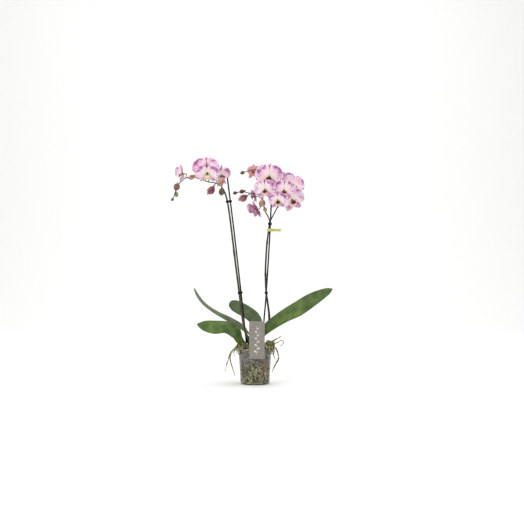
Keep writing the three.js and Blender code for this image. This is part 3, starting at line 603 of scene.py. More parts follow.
def sheet(surface, rows, columns, thickness):
    """A closed thin blade: surface(t, v) with t from 0 to 1 along it and v from -1 to 1 across.
    Also gives 0 or 1 for each face, front or back, and t and v for each point."""
    grid = [[surface(i / rows, 2 * j / columns - 1) for j in range(columns + 1)]
            for i in range(rows + 1)]
    front, back, places = [], [], []
    for i in range(rows + 1):
        for j in range(columns + 1):
            wide = grid[i][min(j + 1, columns)] - grid[i][max(j - 1, 0)]
            long = grid[min(i + 1, rows)][j] - grid[max(i - 1, 0)][j]
            normal = wide.cross(long).normalized()
            v = 2 * j / columns - 1
            above, below = thickness(i / rows, v)
            front.append(grid[i][j] + normal * above)
            back.append(grid[i][j] - normal * below)
            places.append((i / rows, v))
    step, count = columns + 1, (rows + 1) * (columns + 1)
    flat = [(i * step + j, i * step + j + 1, (i + 1) * step + j + 1, (i + 1) * step + j)
            for i in range(rows) for j in range(columns)]
    rim = list(range(step)) + [i * step + columns for i in range(1, rows + 1)]
    rim += [rows * step + j for j in range(columns - 1, -1, -1)]
    rim += [i * step for i in range(rows - 1, 0, -1)]
    edge = [(a, count + a, count + b, b) for a, b in zip(rim, rim[1:] + rim[:1])]
    faces = flat + [tuple(count + k for k in reversed(face)) for face in flat] + edge
    shades = [0] * len(flat) + [1] * len(flat) + [0] * len(edge)
    return front + back, faces, shades, places * 2


def leaf_surface(leaf):
    """A blade folded along its rib, with a rounded end."""
    def surface(t, v):
        ahead = heading(leaf["rib"], t)
        side = Vector([through([a[k] for a in leaf["across"]], t) for k in range(3)])
        side = (side - ahead * side.dot(ahead)).normalized()
        up = side.cross(ahead)
        end = max(0.0, (t - 0.95) / 0.05)
        half = through(leaf["half"], t) * sqrt(max(0.02, 1 - end ** 2.5))
        return along(leaf["rib"], t) + v * half * side + leaf["fold"] * half * abs(v) ** 1.15 * up

    return surface


def leaf_thickness(leaf):
    """Thick in the middle, thin at the edges, with a groove over the midrib on its upper face."""
    def thickness(t, v):
        body = 0.92 * (1 - abs(v) ** 5) ** 0.5 + 0.06
        groove = 0.45 * exp(-((v / 0.07) ** 2)) * (1 - t ** 6)
        upper, lower = body - groove, body
        return (upper, lower) if leaf["top"] > 0 else (lower, upper)

    return thickness


def veined(tree, where, fan, tone, amount, ramp, **texture):
    """Lays fine lines, which run along a leaf or petal, over its tone. Also gives the lines."""
    stretch = add(tree, "Mapping", {"Vector": where, "Scale": fan})
    lines, veins = clouded(tree, stretch, 1.0, ramp, **texture)
    laid = add(tree, "MixRGB", {"Fac": amount, "Color1": tone, "Color2": veins},
               blend_type="OVERLAY")
    return laid, lines


def leaf_material(name, deep, mid, light, roughness, vein):
    """Waxy leaf skin: mottled along the blade, fine parallel veins, a paler midrib line."""
    material, tree, place = new_material(name)
    where = add(tree, "UVMap", uv_map="leaf")
    split = add(tree, "SeparateXYZ", {"Vector": where})
    cloud, tone = clouded(tree, place, per(26), [(0.31, deep), (0.5, mid), (0.7, light)],
                          Detail=5, Roughness=0.6)
    laid, lines = veined(tree, where, (34, 1.6, 1), tone, vein, [(0.4, "8c8c8c"), (0.6, "b4b4b4")],
                         Detail=3, Roughness=0.6)
    centre = add(tree, "Math", {0: split, 1: 0.5}, operation="SUBTRACT")
    off = add(tree, "Math", {0: centre}, operation="ABSOLUTE")
    rib = add(tree, "ValToRGB", {"Fac": off}, [(0.006, "4c4c4c"), (0.03, "000000")])
    ribbed = add(tree, "MixRGB", {"Fac": rib, "Color1": laid, "Color2": linear(light)})
    relief = add(tree, "Bump", {"Height": lines, "Strength": 0.25, "Distance": 0.0005})
    gloss = add(tree, "MapRange", {"Value": cloud, "From Min": 0.3, "From Max": 0.7,
                                   "To Min": roughness, "To Max": roughness + 0.14})
    skin = add(tree, "BsdfPrincipled", {"Base Color": ribbed, "Roughness": gloss, "IOR": 1.45,
                                        "Normal": relief})
    add(tree, "OutputMaterial", {"Surface": skin})
    return material


# The upper face is a deep green wax; the underside is paler and greyer.
leaf_top = leaf_material("leaf_upper_face_waxy", "334a12", "4c681f", "6b842f", 0.34, 0.7)
leaf_under = leaf_material("leaf_underside_dull", "4c5b38", "62704c", "7f8a68", 0.5, 0.4)
# The leaf at the back is painted greyer and less green than the rest: a painted sheen,
# standing in for the grey reflection on its upper face.
leaf_painted_sheen = leaf_material("leaf_upper_face_painted_sheen", "39482a", "55643c", "6f7b55", 0.5, 0.6)

for name, leaf in LEAVES.items():
    points, faces, shades, places = sheet(leaf_surface(leaf), 84, 22, leaf_thickness(leaf))
    if leaf["top"] < 0:
        shades = [1 - shade for shade in shades]
    # The back leaf gets the greyer tones, a painted sheen.
    top = leaf_painted_sheen if name == "leaf_back" else leaf_top
    blade = mesh_piece(name + "_blade", points, faces, top, leaf_under, shades=shades,
                       maps={"leaf": [((v + 1) / 2, t) for t, v in places]})
    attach(blade, "root")
    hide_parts(name)

# A dry base is left on the crown where an old leaf was pulled off. Its near-black tone is
# painted shade, for the shadow among the leaf and stem bases behind the stems above the rim.
dry_sheath_painted_shade, tree, _ = new_material("leaf_base_dried_painted_shade")
# Papery skin, streaked along its length; its brown-black tone is painted shade.
where = add(tree, "UVMap", uv_map="leaf")
stretch = add(tree, "Mapping", {"Vector": where, "Scale": (14, 2, 1)})
lines, tone = clouded(tree, stretch, 1.0, [(0.35, "15120b"), (0.55, "2e2817"), (0.75, "5b4c2c")],
                      Detail=4)
relief = add(tree, "Bump", {"Height": lines, "Strength": 0.5, "Distance": 0.0005})
skin = add(tree, "BsdfPrincipled", {"Base Color": tone, "Roughness": 0.7, "Normal": relief})
add(tree, "OutputMaterial", {"Surface": skin})

OLD_BASE = {"rib": [(-13, 6.4, 121), (-18, 6.6, 131), (-23, 6.8, 143), (-26, 7, 157)],
            "across": [(-0.85, -0.1, -0.5), (-0.9, 0.1, -0.4)],
            "half": [3.5, 7, 7.5, 2], "fold": 0.1}
points, faces, shades, places = sheet(leaf_surface(OLD_BASE), 30, 14, lambda t, v: (0.4, 0.4))
base = mesh_piece("old_leaf_base", points, faces, dry_sheath_painted_shade,
                  maps={"leaf": [((v + 1) / 2, t) for t, v in places]})
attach(base, "root")
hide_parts("crown_and_roots")

# Air roots
# Living roots that left the crown above the bark, crossed the rim and hang in the air. They
# are round, 3 to 5 mm thick, with a dry spongy skin. Each has its radius in mm and its path.
AIR_ROOTS = {
    "air_roots_left": [
        (2.3, [(-11.9, -1.8, 114), (-27, -5, 119), (-48, -5, 121), (-60, -9, 115), (-72, -14, 104),
               (-79, -16, 88), (-77, -16, 70), (-70, -14, 47), (-64, -13, 27)]),
        (2, [(-11.9, -1, 114), (-24, 9, 119), (-48, 11, 121), (-66, 6, 112), (-80, 2, 95),
             (-86, -1, 74), (-92, -2, 56), (-95, -1, 40)]),
        (1.9, [(-11.9, -1.8, 114), (-32, -11, 117), (-50, -16, 120), (-60, -21, 113),
               (-67, -24, 101), (-64, -24, 90)]),
    ],
    "air_roots_right": [
        (2.7, [(10.5, -3.9, 114), (32, -14, 121), (52, -18, 121), (66, -19, 115), (73, -20, 98),
               (75, -19, 82), (68, -17, 68), (60, -16, 52), (55, -16, 40)]),
        (2.4, [(10.5, -3.9, 114), (30, -26, 119), (44, -36, 120), (55, -39, 110), (60, -40, 92),
               (66, -38, 76)]),
        (2.6, [(10.5, -3.9, 114), (32, -4, 122), (54, 2, 134), (86, 6, 152)]),
        (1.5, [(10.5, -3.9, 114), (44, -7, 124), (70, -10, 131), (84, -12, 139), (91, -13, 133),
               (85, -13, 124), (76, -13, 121)]),
    ],
}

air_root, tree, place = new_material("root_velamen_dry")
# Dry velamen: silvery grey-green with paler flecks, brown where it was bruised on the rim.
_, tone = clouded(tree, place, per(7), [(0.38, "2b2410"), (0.46, "5e5a2c"), (0.52, "a19d66"),
                                        (0.6, "dbd7b2")], Detail=5, Roughness=0.7)
fleck, pale = clouded(tree, place, per(1.1), [(0.45, "7c7c7c"), (0.7, "c9c9c9")], Detail=3)
mixed = add(tree, "MixRGB", {"Fac": 0.5, "Color1": tone, "Color2": pale}, blend_type="OVERLAY")
relief = add(tree, "Bump", {"Height": fleck, "Strength": 0.5, "Distance": 0.0004})
skin = add(tree, "BsdfPrincipled", {"Base Color": mixed, "Roughness": 0.75, "Normal": relief})
add(tree, "OutputMaterial", {"Surface": skin})


def root_radius(thick):
    """A knobbly root of this radius, with a blunt end."""
    def radius(t, turn):
        knobbly = 1 + 0.07 * noise.noise(Vector((cos(turn), sin(turn), 60 * t)))
        return thick * through([0.9, 1.1, 1, 0.95, 0.85, 0.45], t) * (0.96 + knobbly * 0.03)

    return radius


# Between the long roots a mat of short ones climbs out of the bark and over the rim: how many,
# from which turn to which, and how much higher than the rim's own they rise, in mm.
SHORT_ROOTS = {"air_roots_left": (24, -178, -128, 3), "air_roots_right": (54, -56, 18, 8)}

for name, roots in AIR_ROOTS.items():
    parts = [rod(path, root_radius(thick), 18 * len(path), 14) for thick, path in roots]
    count, first, last, rise = SHORT_ROOTS[name]
    for _ in range(count):
        turn = dice.uniform(first, last)
        stops = [(turn + dice.gauss(0, 14), dice.uniform(30, 46), dice.uniform(106, 112)),
                 (turn + dice.gauss(0, 9), dice.uniform(40, 50), dice.uniform(116, 129 + rise)),
                 (turn, dice.uniform(54, 61), dice.uniform(116, 127 + rise)),
                 (turn + dice.gauss(0, 7), dice.uniform(60, 66), dice.uniform(94, 123))]
        path = [around(radians(bearing), radius, z) for bearing, radius, z in stops]
        parts.append(rod(path, root_radius(dice.uniform(0.5, 1.4)), 26, 8))
    bunch = mesh_piece(name + "_bunch", *joined(parts), air_root)
    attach(bunch, "root")
    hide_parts(name)

# Stakes
# Plain wire stakes with a dark green-black plastic coat, pushed into the bark and bowed a
# little by the spikes that are clipped to them.
coated_wire, tree, place = new_material("wire_plastic_coated")
# Extruded coat: satin, faint draw lines along it and dust in them.
lines, tone = clouded(tree, place, per(2.5), [(0.35, "080906"), (0.7, "171913")], Detail=4)
gloss = add(tree, "MapRange", {"Value": lines, "To Min": 0.52, "To Max": 0.7})
skin = add(tree, "BsdfPrincipled", {"Base Color": tone, "Roughness": gloss, "IOR": 1.46,
                                    "Specular IOR Level": 0.2})
add(tree, "OutputMaterial", {"Surface": skin})

WIRE_RADIUS = 2.4
for name, line in STAKE_LINES.items():
    wire = mesh_piece(name + "_wire", *rod(line, lambda t, turn: WIRE_RADIUS, 90, 18), coated_wire)
    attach(wire, "root")
    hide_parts(name)

# Flower spikes
# Two living flower stems, round and firm, each with a few rings where a leaf scale clasps it.
# They fork into thinner branches, and each flower hangs on a short stalk of its own.
STEM_LINES = {
    "left": {
        "node": "flower_stem_left", "rings": (0.17, 0.36, 0.55),
        # Paler tones than the right spike's: painted light on the left stem.
        "tones": ("1e2015", "43452f", "6d6e54"),
        "main": [(-13.7, -4.2, 129), (-20.2, -5.4, 140), (-31, -6, 165), (-41, -5.4, 215),
                 (-50.2, -3.6, 290), (-60.6, -2.5, 370), (-72.2, -2, 465), (-81.5, -1.5, 540),
                 (-89, -1, 585), (-96.6, 1, 611), (-107, 8, 630)],
        "branches": {
            "arch": [(-96.6, 1, 611), (-107, 8, 630), (-125, 15, 642), (-150, 18, 647),
                     (-175, 15, 655), (-200, 10, 662), (-222, 6, 658), (-240, 3, 643),
                     (-250, 1, 624), (-256, 0, 606), (-261, -2, 594)],
        },
    },
    "right": {
        "node": "flower_stem_right", "rings": (0.3, 0.62, 0.82),
        "tones": ("14160b", "292c1b", "484b34"),
        "main": [(13.5, -2.4, 130), (24.4, 0.8, 147), (41, 1, 184), (45.5, -0.5, 214),
                 (40, -2, 262), (36, -2.6, 290), (33.6, -2.4, 340), (34, -2.4, 380),
                 (37.6, -2.4, 440), (42.5, -2.4, 482), (47.8, -2.8, 520)],
        "branches": {
            "upper": [(47.8, -2.8, 518), (56, -1, 534), (69, 2, 559), (84, 7, 588), (96, 13, 616),
                      (97, 17, 642), (84, 19, 664), (60, 19, 677), (30, 17, 684), (4, 13, 686),
                      (-18, 9, 682), (-30, 6, 678)],
            "lower": [(47.8, -2.8, 518), (42, -5, 533), (33, -8, 550), (27, -8, 570),
                      (22, -6, 588), (12, -3, 602), (-2, -1, 608), (-16, 0, 609), (-30, 1, 612),
                      (-42, 1, 615), (-54, 0, 612)],
        },
    },
}
# A flower has the middle of its face, its facing, tilt and roll, its size, how many degrees its
# tepals lean forward, its branch, its place along the branch and the tone of its outer side.
# Via is a point that the stalk passes where it has to go round another flower.
Bloom = namedtuple("Bloom", "at facing tilt roll size spread branch place tone via",
                   defaults=["pale", None])
BLOOMS = {
    "right_1": Bloom((72, -58, 583), 2, -20, -4, 0.78, 14, "upper", 0.2, via=(74, -22, 564)),
    "right_2": Bloom((92, -36, 615), 4, -6, 3, 0.88, 2, "upper", 0.4),
    "right_3": Bloom((118, -11, 586), 12, -6, -18, 1.0, 0, "upper", 0.28),
    "right_4": Bloom((122, 6, 633), 24, 2, 4, 0.94, 0, "upper", 0.42),
    "right_5": Bloom((45, -14, 660), -3, -2, 3, 1.08, 0, "upper", 0.63),
    "right_6": Bloom((98, 40, 648), 150, 14, 0, 0.86, 0, "upper", 0.5, "marbled"),
    "right_7": Bloom((-6, 30, 680), 165, 6, 0, 0.68, 27, "upper", 0.86, "peach"),
    "right_8": Bloom((32, -38, 617), -6, -6, -3, 0.86, 2, "lower", 0.4),
    "right_9": Bloom((0, 39, 602), -105, 0, 0, 0.66, 12, "lower", 0.5, "rosy"),
    "right_10": Bloom((5, 0, 556), -126, -16, 0, 0.8, 20, "lower", 0.33, "rosy"),
    "left_1": Bloom((-157, -2, 684), 0, 8, 2, 1.05, 0, "arch", 0.34),
    "left_2": Bloom((-150, -36, 671), -3, -32, 0, 1.0, 15, "arch", 0.27, via=(-147, -4, 646)),
    "left_3": Bloom((-112, 34, 668), 58, 10, 0, 0.9, 27, "arch", 0.2),
    "left_4": Bloom((-230, -12, 669.5), -64, 2, 0, 0.8, 24, "arch", 0.6, "peach"),
}
HALF_OPEN = {
    "right_opening_1": Bloom((-26, -8, 600), -55, -30, 0, 0.78, 0, "lower", 0.68, "rose"),
    "right_opening_2": Bloom((24, -16, 588), -10, -60, 0, 0.74, 0, "lower", 0.3, "peach"),
    "left_opening_1": Bloom((-132, -8, 630), -50, -55, 0, 0.8, 0, "arch", 0.24, "rose"),
    "left_opening_2": Bloom((-108, -10, 655), -20, -65, 0, 0.72, 0, "arch", 0.13, "peach"),
    "left_opening_3": Bloom((-193, -3, 665), -60, -30, 0, 0.56, 0, "arch", 0.48, "peach"),
}
# Buds: as the flowers, with their length in mm as the size.
BUDS = {
    "right_bud_1": Bloom((-33, 4, 677), -80, -20, 0, 15, 0, "upper", 0.96, "olive"),
    "right_bud_2": Bloom((-34, -9, 616), -75, -20, 0, 17, 0, "lower", 0.82, "dusky"),
    "right_bud_3": Bloom((-57, -1, 611), -80, -15, 0, 14, 0, "lower", 0.96, "dusky"),
    "right_bud_4": Bloom((31, -13, 561), 20, -50, 0, 16, 0, "lower", 0.2, "pale"),
    "left_bud_1": Bloom((-246, -14, 638), -30, -60, 0, 25, 0, "arch", 0.79, "tan"),
    "left_bud_2": Bloom((-254, 7, 614), 160, -65, 0, 18, 0, "arch", 0.88, "pale"),
    "left_bud_3": Bloom((-262, -3, 593), -40, -60, 0, 11, 0, "arch", 0.96, "dusky"),
    "left_bud_4": Bloom((-105, -9, 624), -30, -75, 0, 24, 0, "arch", 0.06, "olive"),
}


def stem_radius(scars):
    """A stem that tapers, with a thicker ring at the scar of each leaf scale."""
    def radius(t, turn):
        ring = sum(exp(-(((t - at) / 0.012) ** 2)) for at in scars)
        return 3.35 * (1.12 - 0.36 * t) + 0.7 * min(ring, 1)

    return radius


def stalk(flower, branches, seat, before):
    """A flower's or bud's own stalk. It stops a little short of the flower's seat, and comes
    straight in from so far before."""
    facing, tilt = radians(flower.facing), radians(flower.tilt)
    front = Vector((sin(facing) * cos(tilt), -cos(facing) * cos(tilt), sin(tilt)))
    end = Vector(flower.at) - front * (seat * flower.size + STALK_GAP)
    path = [along(branches[flower.branch], flower.place)]
    path += ([Vector(flower.via)] if flower.via else []) + [end - front * before, end]
    return rod(path, lambda t, turn: (1.1 + 0.7 * t) * (1 + 0.04 * cos(3 * turn)), 26, 10)


STALK_GAP = 0.3
# Dark green-brown skin, thinly waxed, with darker streaks along the stem and pale pores. The
# left spike is painted paler than the right: painted light, a lit copy of the same skin.
for side, spike in STEM_LINES.items():
    stem_skin, tree, place = new_material("flower_stem_living_" + side)
    stretch = add(tree, "Mapping", {"Vector": place, "Scale": (per(1.6), per(1.6), per(18))})
    streak, tone = clouded(tree, stretch, 1.0, list(zip((0.32, 0.55, 0.72), spike["tones"])),
                           Detail=3)
    pores = add(tree, "TexVoronoi", {"Vector": place, "Scale": per(2)})
    dots = add(tree, "ValToRGB", {"Fac": pores}, [(0.06, "8a8c74"), (0.14, "000000")])
    mixed = add(tree, "MixRGB", {"Fac": 0.35, "Color1": tone, "Color2": dots},
                blend_type="LIGHTEN")
    relief = add(tree, "Bump", {"Height": streak, "Strength": 0.3, "Distance": 0.0004})
    skin = add(tree, "BsdfPrincipled", {"Base Color": mixed, "Roughness": 0.42, "IOR": 1.45,
                                        "Specular IOR Level": 0.35, "Normal": relief})
    add(tree, "OutputMaterial", {"Surface": skin})
    parts = [rod(spike["main"], stem_radius(spike["rings"]), 220, 18)]
    parts += [rod(path, lambda t, turn: 2.1 - 0.9 * t, 110, 12)
              for path in spike["branches"].values()]
    for flowers, seat, before in ((BLOOMS, 3.2, 9), (HALF_OPEN, 3.2, 9), (BUDS, 0, 3)):
        parts += [stalk(flower, spike["branches"], seat, before)
                  for name, flower in flowers.items() if name.startswith(side)]
    stem = mesh_piece("spike_" + side, *joined(parts), stem_skin)
    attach(stem, "root")
    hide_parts(spike["node"])

# Clips
# Small moulded plastic rings, oval, snapped round stem and stake, two to each spike.
CLIPS = {"clip_left_low": ("left", 290), "clip_left_high": ("left", 582),
         "clip_right_low": ("right", 290), "clip_right_high": ("right", 511)}


def place_at(path, height):
    """How far along a rising path it reaches a height."""
    low, high = 0.0, 1.0
    for _ in range(40):
        half = (low + high) / 2
        low, high = (half, high) if along(path, half).z < height else (low, half)
    return low


def rounded(x0, x1, z0, z1, corner, steps):
    """The outline of an upright rectangle, its corners rounded in so many steps."""
    outline = []
    for x, z, start in ((x1 - corner, z1 - corner, 0), (x0 + corner, z1 - corner, 90),
                        (x0 + corner, z0 + corner, 180), (x1 - corner, z0 + corner, 270)):
        for k in range(steps + 1):
            turn = radians(start + 90 * k / steps)
            outline.append((x + corner * cos(turn), z + corner * sin(turn)))
    return outline


def band(side, height, tall, wall=1.2, inner=3.9, ease=0.35):
    """An oval ring round a spike's stem and stake, its section a rounded upright strip."""
    stem, stake = STEM_LINES[side]["main"], STAKE_LINES["stake_" + side]
    a, s = along(stem, place_at(stem, height)), place_at(stake, height)
    up = heading(stake, s)
    apart = along(stake, s) - a
    apart -= up * apart.dot(up)
    x, distance = apart.normalized(), apart.length
    y = up.cross(x)
    section = rounded(0, wall, -tall / 2, tall / 2, ease, 3)
    rings = []
    for turn in [radians(90 + 7.5 * (k + 0.5)) for k in range(48)]:
        middle = a if cos(turn) < 0 else a + distance * x
        out = cos(turn) * x + sin(turn) * y
        rings.append([middle + out * (inner + w) + up * h for w, h in section])
    return skinned(rings, looped=True)


for name, (side, height) in CLIPS.items():
    ring = mesh_piece(name + "_ring", *band(side, height, 7), coated_wire)
    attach(ring, "root")
    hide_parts(name)

# Flowers
# Open moth-orchid flowers: three sepals behind, two broad petals in front of them, grown
# together round a short column. The tissue is thin, matt and a little crystalline.
SEPAL = {"width": 28, "seat": -1.8, "root": -3, "curl": -0.05, "early": 0.9, "blunt": (0.9, 0.6),
         "grid": (28, 16), "face": 1}
PETAL = {"width": 57, "seat": 1.4, "root": 9, "curl": 0.04, "early": 1.1, "blunt": (0.95, 0.5),
         "grid": (36, 28), "face": 0}
# Turned so many degrees from the top; grid and face are for the mesh and its material.
TEPALS = [
    {**SEPAL, "turn": 0, "length": 42, "tip": -6, "follow": 1},
    {**SEPAL, "turn": 141, "length": 39, "tip": -4, "follow": 0.5},
    {**SEPAL, "turn": -141, "length": 39, "tip": -4, "follow": 0.5},
    {**PETAL, "turn": 62, "length": 45, "tip": -5, "follow": 1},
    {**PETAL, "turn": -62, "length": 45, "tip": -5, "follow": 1},
]
# A petal's blotches lie so far from the top, and its margin map reaches so many mm inward.
BLOTCH_TURN, EDGE_WIDTH = radians(38), 20


def tepal_surface(tepal, root_lean, tip_lean, narrow, even, wave, phase, trim=0.975):
    """A tepal that leans forward by so many degrees at its root and its tip, and its margin map:
    how far each point lies from the edge, and how high on the flower."""
    follow = max(tepal["follow"], even)
    root = radians(tepal["root"] + follow * root_lean)
    tip = radians(tepal["tip"] + follow * tip_lean)
    turned, length = radians(tepal["turn"]), tepal["length"]
    bend = (tip - root) / length

    def share_of(t):
        return 0.05 + 0.942 * (1 - (1 - t) ** 1.35)

    def surface(t, v):
        share = share_of(t)
        blunt = tepal["blunt"][0] + (tepal["blunt"][1] - tepal["blunt"][0]) * share
        arc = sin(pi * share ** tepal["early"]) ** blunt
        half = narrow * tepal["width"] * arc / 2
        run, wide = share * length, v * half
        out = hypot(run, wide)
        lean = root + (tip - root) * out / length
        reach = (sin(lean) - sin(root)) / bend
        rise = (cos(root) - cos(lean)) / bend
        angle = turned + atan2(wide, run) * out / reach
        curl = tepal["curl"] * half * v * v
        curl += wave * share * abs(v) ** 3 * sin(9 * share + 2.5 * v + phase)
        flat = (reach - sin(lean) * curl) * trim
        return Vector((flat * sin(angle), flat * cos(angle),
                       tepal["seat"] + rise + cos(lean) * curl))

    def margin(t, v):
        if tepal["face"]:
            return 0.3, 1 - 0.35 * abs(v)
        share = share_of(t)
        half = narrow * tepal["width"] * sin(pi * share ** tepal["early"]) / 2
        inward = min((1 - abs(v)) * half, (1 - t) * length * 0.8)
        angle = turned + atan2(v * half, share * length)
        high = 0.5 + 0.5 * cos(angle - copysign(BLOTCH_TURN, turned))
        return inward / EDGE_WIDTH, high

    return surface, margin


def hub_rings():
    """The seat behind the tepals and the column before them, which bows down a little."""
    stations = [(0, -3.2, 2.64), (0, -1.6, 4.4), (0, 0.6, 4.5), (0, 2.6, 3.6), (-0.3, 5, 2.7),
                (-0.4, 6.85, 2.6), (-0.8, 9, 2.5), (-1.2, 10.6, 2), (-1.2, 11.1, 1.2)]
    return [[Vector((r * sin(turn), y + r * cos(turn), z)) for turn in full_turn(20)]
            for y, z, r in stations]


def tepal_material(name, ground, blush, wash, blotch, spots, amount, cream):
    """Petal tissue seen from the front: pale, with veins, blotches, spots and a white edge."""
    material, tree, place = new_material(name)
    where = add(tree, "UVMap", uv_map="petal")
    up = add(tree, "SeparateXYZ", {"Vector": where}).outputs["Y"]
    margin = add(tree, "SeparateXYZ", {"Vector": add(tree, "UVMap", uv_map="margin")})
    high_up = margin.outputs["Y"]
    # The ground is lilac-white, creamy at the heart.
    _, tone = clouded(tree, place, per(16), [(0.35, ground), (0.65, blush)], Detail=3)
    heart = add(tree, "ValToRGB", {"Fac": up}, [(0.1, "ffffff"), (0.42, "000000")])
    hearted = add(tree, "MixRGB", {"Fac": heart, "Color1": tone, "Color2": linear(cream)})
    # Fine veins fan out from the root.
    fan = add(tree, "Mapping", {"Vector": where, "Scale": (30, 2.2, 1)})
    lines, veins = clouded(tree, fan, 1.0, [(0.52, "000000"), (0.62, "5a5a5a"), (0.68, "000000")],
                           Distortion=0.4)
    lined = add(tree, "MixRGB", {"Fac": veins, "Color1": hearted, "Color2": linear(blotch)})
    # Blotches lie in an arc inside the white edge, high on the flower, and run into a wash.
    ring = add(tree, "ValToRGB", {"Fac": margin},
               [(0.08, "000000"), (0.22, "ffffff"), (0.76, "f2f2f2"), (1.0, "000000")])
    high = add(tree, "ValToRGB", {"Fac": high_up}, [(0.84, "000000"), (0.95, "ffffff")])
    outer = add(tree, "ValToRGB", {"Fac": up}, [(0.26, "000000"), (0.48, "ffffff")])
    drift = add(tree, "TexNoise", {"Vector": place, "Scale": per(24)})
    patch = add(tree, "MapRange", {"Value": drift, "From Min": 0.36, "From Max": 0.54,
                                   "To Min": 0.25})
    arc = high
    for mask in (outer, ring, patch):
        arc = add(tree, "Math", {0: arc, 1: mask}, operation="MULTIPLY")
    ragged = add(tree, "TexNoise", {"Vector": place, "Scale": per(6), "Detail": 5,
                                    "Roughness": 0.75})
    worn = add(tree, "Math", {0: ragged, 1: 3, 2: arc}, operation="MULTIPLY_ADD")
    strength = add(tree, "MapRange", {"Value": worn, "From Min": 1.95, "From Max": 2.5,
                                      "To Max": amount})
    halo = add(tree, "Math", {0: arc, 1: 0.5}, operation="MULTIPLY")
    washed = add(tree, "MixRGB", {"Fac": halo, "Color1": lined, "Color2": linear(wash)})
    blotched = add(tree, "MixRGB", {"Fac": strength, "Color1": washed, "Color2": linear(blotch)})
    # Small round spots fill the rest, fewer at the heart and high up.
    cells = add(tree, "TexVoronoi", {"Vector": place, "Scale": per(5.2)})
    spot = add(tree, "ValToRGB", {"Fac": cells}, [(0.36, "ffffff"), (0.48, "000000")])
    low = add(tree, "ValToRGB", {"Fac": high_up}, [(0.8, "ffffff"), (0.98, "8c8c8c")])
    away = add(tree, "ValToRGB", {"Fac": up}, [(0.34, "000000"), (0.5, "ffffff")])
    _, some = clouded(tree, place, per(13), [(0.32, "000000"), (0.43, "ffffff")])
    for mask in (low, away, some, 0.85):
        spot = add(tree, "Math", {0: spot, 1: mask}, operation="MULTIPLY")
    spotted = add(tree, "MixRGB", {"Fac": spot, "Color1": blotched, "Color2": linear(spots)})
    relief = add(tree, "Bump", {"Height": lines, "Strength": 0.2, "Distance": 0.0006})
    skin = add(tree, "BsdfPrincipled", {"Base Color": spotted, "Roughness": 0.6,
                                        "Specular IOR Level": 0.35, "Sheen Weight": 0.15,
                                        "Normal": relief})
    add(tree, "OutputMaterial", {"Surface": skin})
    return material


petal_face = tepal_material("petal_tissue_upper_face", "f9e6f1", "efbadd", "dd8cc6", "96417f",
                            "5c3560", 0.9, "f8ebe2")
sepal_face = tepal_material("sepal_tissue_upper_face", "f4dae9", "e8b6d4", "d78cc0", "934684",
                            "5c3560", 0.8, "f6e6e0")

# Seen from behind the tissue is peach or dusky rose towards the root and lilac near the edge,
# and pales as the flower ages.
UNDERSIDES = {
    "peach": ("c98f72", "dcae94", "dfb6ba", "e4c4d6"),
    "rosy": ("97525c", "bd7690", "dcb2d0", "ecd4e8"),
    "pale": ("c98e96", "dcaec2", "e8c6da", "f0d8e8"),
}
# On one flower the blotches of the upper face show through.
tepal_backs = {"marbled": tepal_material("tepal_tissue_underside_marbled", "f3deec", "e8bcd8",
                                         "d796c4", "a05c8c", "7a5580", 0.8, "ecd6da")}
for kind, tones in UNDERSIDES.items():
    tepal_backs[kind], tree, place = new_material("tepal_tissue_underside_" + kind)
    where = add(tree, "UVMap", uv_map="petal")
    up = add(tree, "SeparateXYZ", {"Vector": where}).outputs["Y"]
    cloud = add(tree, "TexNoise", {"Vector": place, "Scale": per(14), "Detail": 4})
    shift = add(tree, "Math", {0: up, 1: 0.6, 2: cloud}, operation="MULTIPLY_ADD")
    tone = add(tree, "ValToRGB", {"Fac": shift}, list(zip((0.48, 0.64, 0.8, 0.96), tones)))
    laid, _ = veined(tree, where, (26, 2, 1), tone, 0.6, [(0.4, "8e8e8e"), (0.62, "6a6a6a")])
    skin = add(tree, "BsdfPrincipled", {"Base Color": laid, "Roughness": 0.62,
                                        "Specular IOR Level": 0.3})
    add(tree, "OutputMaterial", {"Surface": skin})

# The column is solid flesh, maroon to dull rose.
column_flesh = mottled("column_flesh", 3, 3, [(0.35, "3a0e16"), (0.7, "7c343a")],
                       {"Roughness": 0.4})


def flower_matrix(flower):
    """Turns a form that faces +Z the way the flower faces, and brings it to size."""
    turn = Matrix.Rotation
    return (turn(radians(flower.facing), 3, "Z") @ turn(radians(90 - flower.tilt), 3, "X")
            @ turn(radians(-flower.roll), 3, "Z")) * flower.size


def petal_thickness(t, v):
    """Thinner towards tip and edges; both faces lie evenly about the middle."""
    half = 0.42 * (0.45 + 0.55 * (1 - abs(v) ** 6)) * (1 - 0.35 * t)
    return half, half


def whole_flower(name, flower, tepals, hub_shade, *materials):
    """Joins a flower's tepals round its hub and turns it the way it faces. Each tepal comes with
    its rows and columns and with the shades of its front and its back."""
    parts, shades, petal_map, margin_map = [], [], [], []
    for (surface, margin), grid, sides in tepals:
        points, faces, backs, places = sheet(surface, *grid, petal_thickness)
        parts.append((points, faces))
        shades += [sides[back] for back in backs]
        petal_map += [((v + 1) / 2, t) for t, v in places]
        margin_map += [margin(t, v) for t, v in places]
    hub, hub_faces = skinned(hub_rings())
    points, faces = joined(parts + [(hub, hub_faces)])
    points = [Vector(flower.at) + flower_matrix(flower) @ point for point in points]
    return mesh_piece(name, points, faces, *materials,
                      shades=shades + [hub_shade] * len(hub_faces),
                      maps={"petal": petal_map + [(0.5, 0.0)] * len(hub),
                            "margin": margin_map + [(1.0, 0.0)] * len(hub)})


dice = random.Random(21)
for name, flower in BLOOMS.items():
    lean = flower.spread
    tepals = [(tepal_surface(tepal, lean, 0.9 * lean, 1 - 0.009 * lean, 0, 0.5,
                             dice.uniform(0, 6.3)), tepal["grid"], (tepal["face"], 2))
              for tepal in TEPALS]
    bloom = whole_flower("tepals_" + name, flower, tepals, 3, petal_face, sepal_face,
                         tepal_backs[flower.tone], column_flesh)
    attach(bloom, "root")
    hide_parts("bloom_" + name)

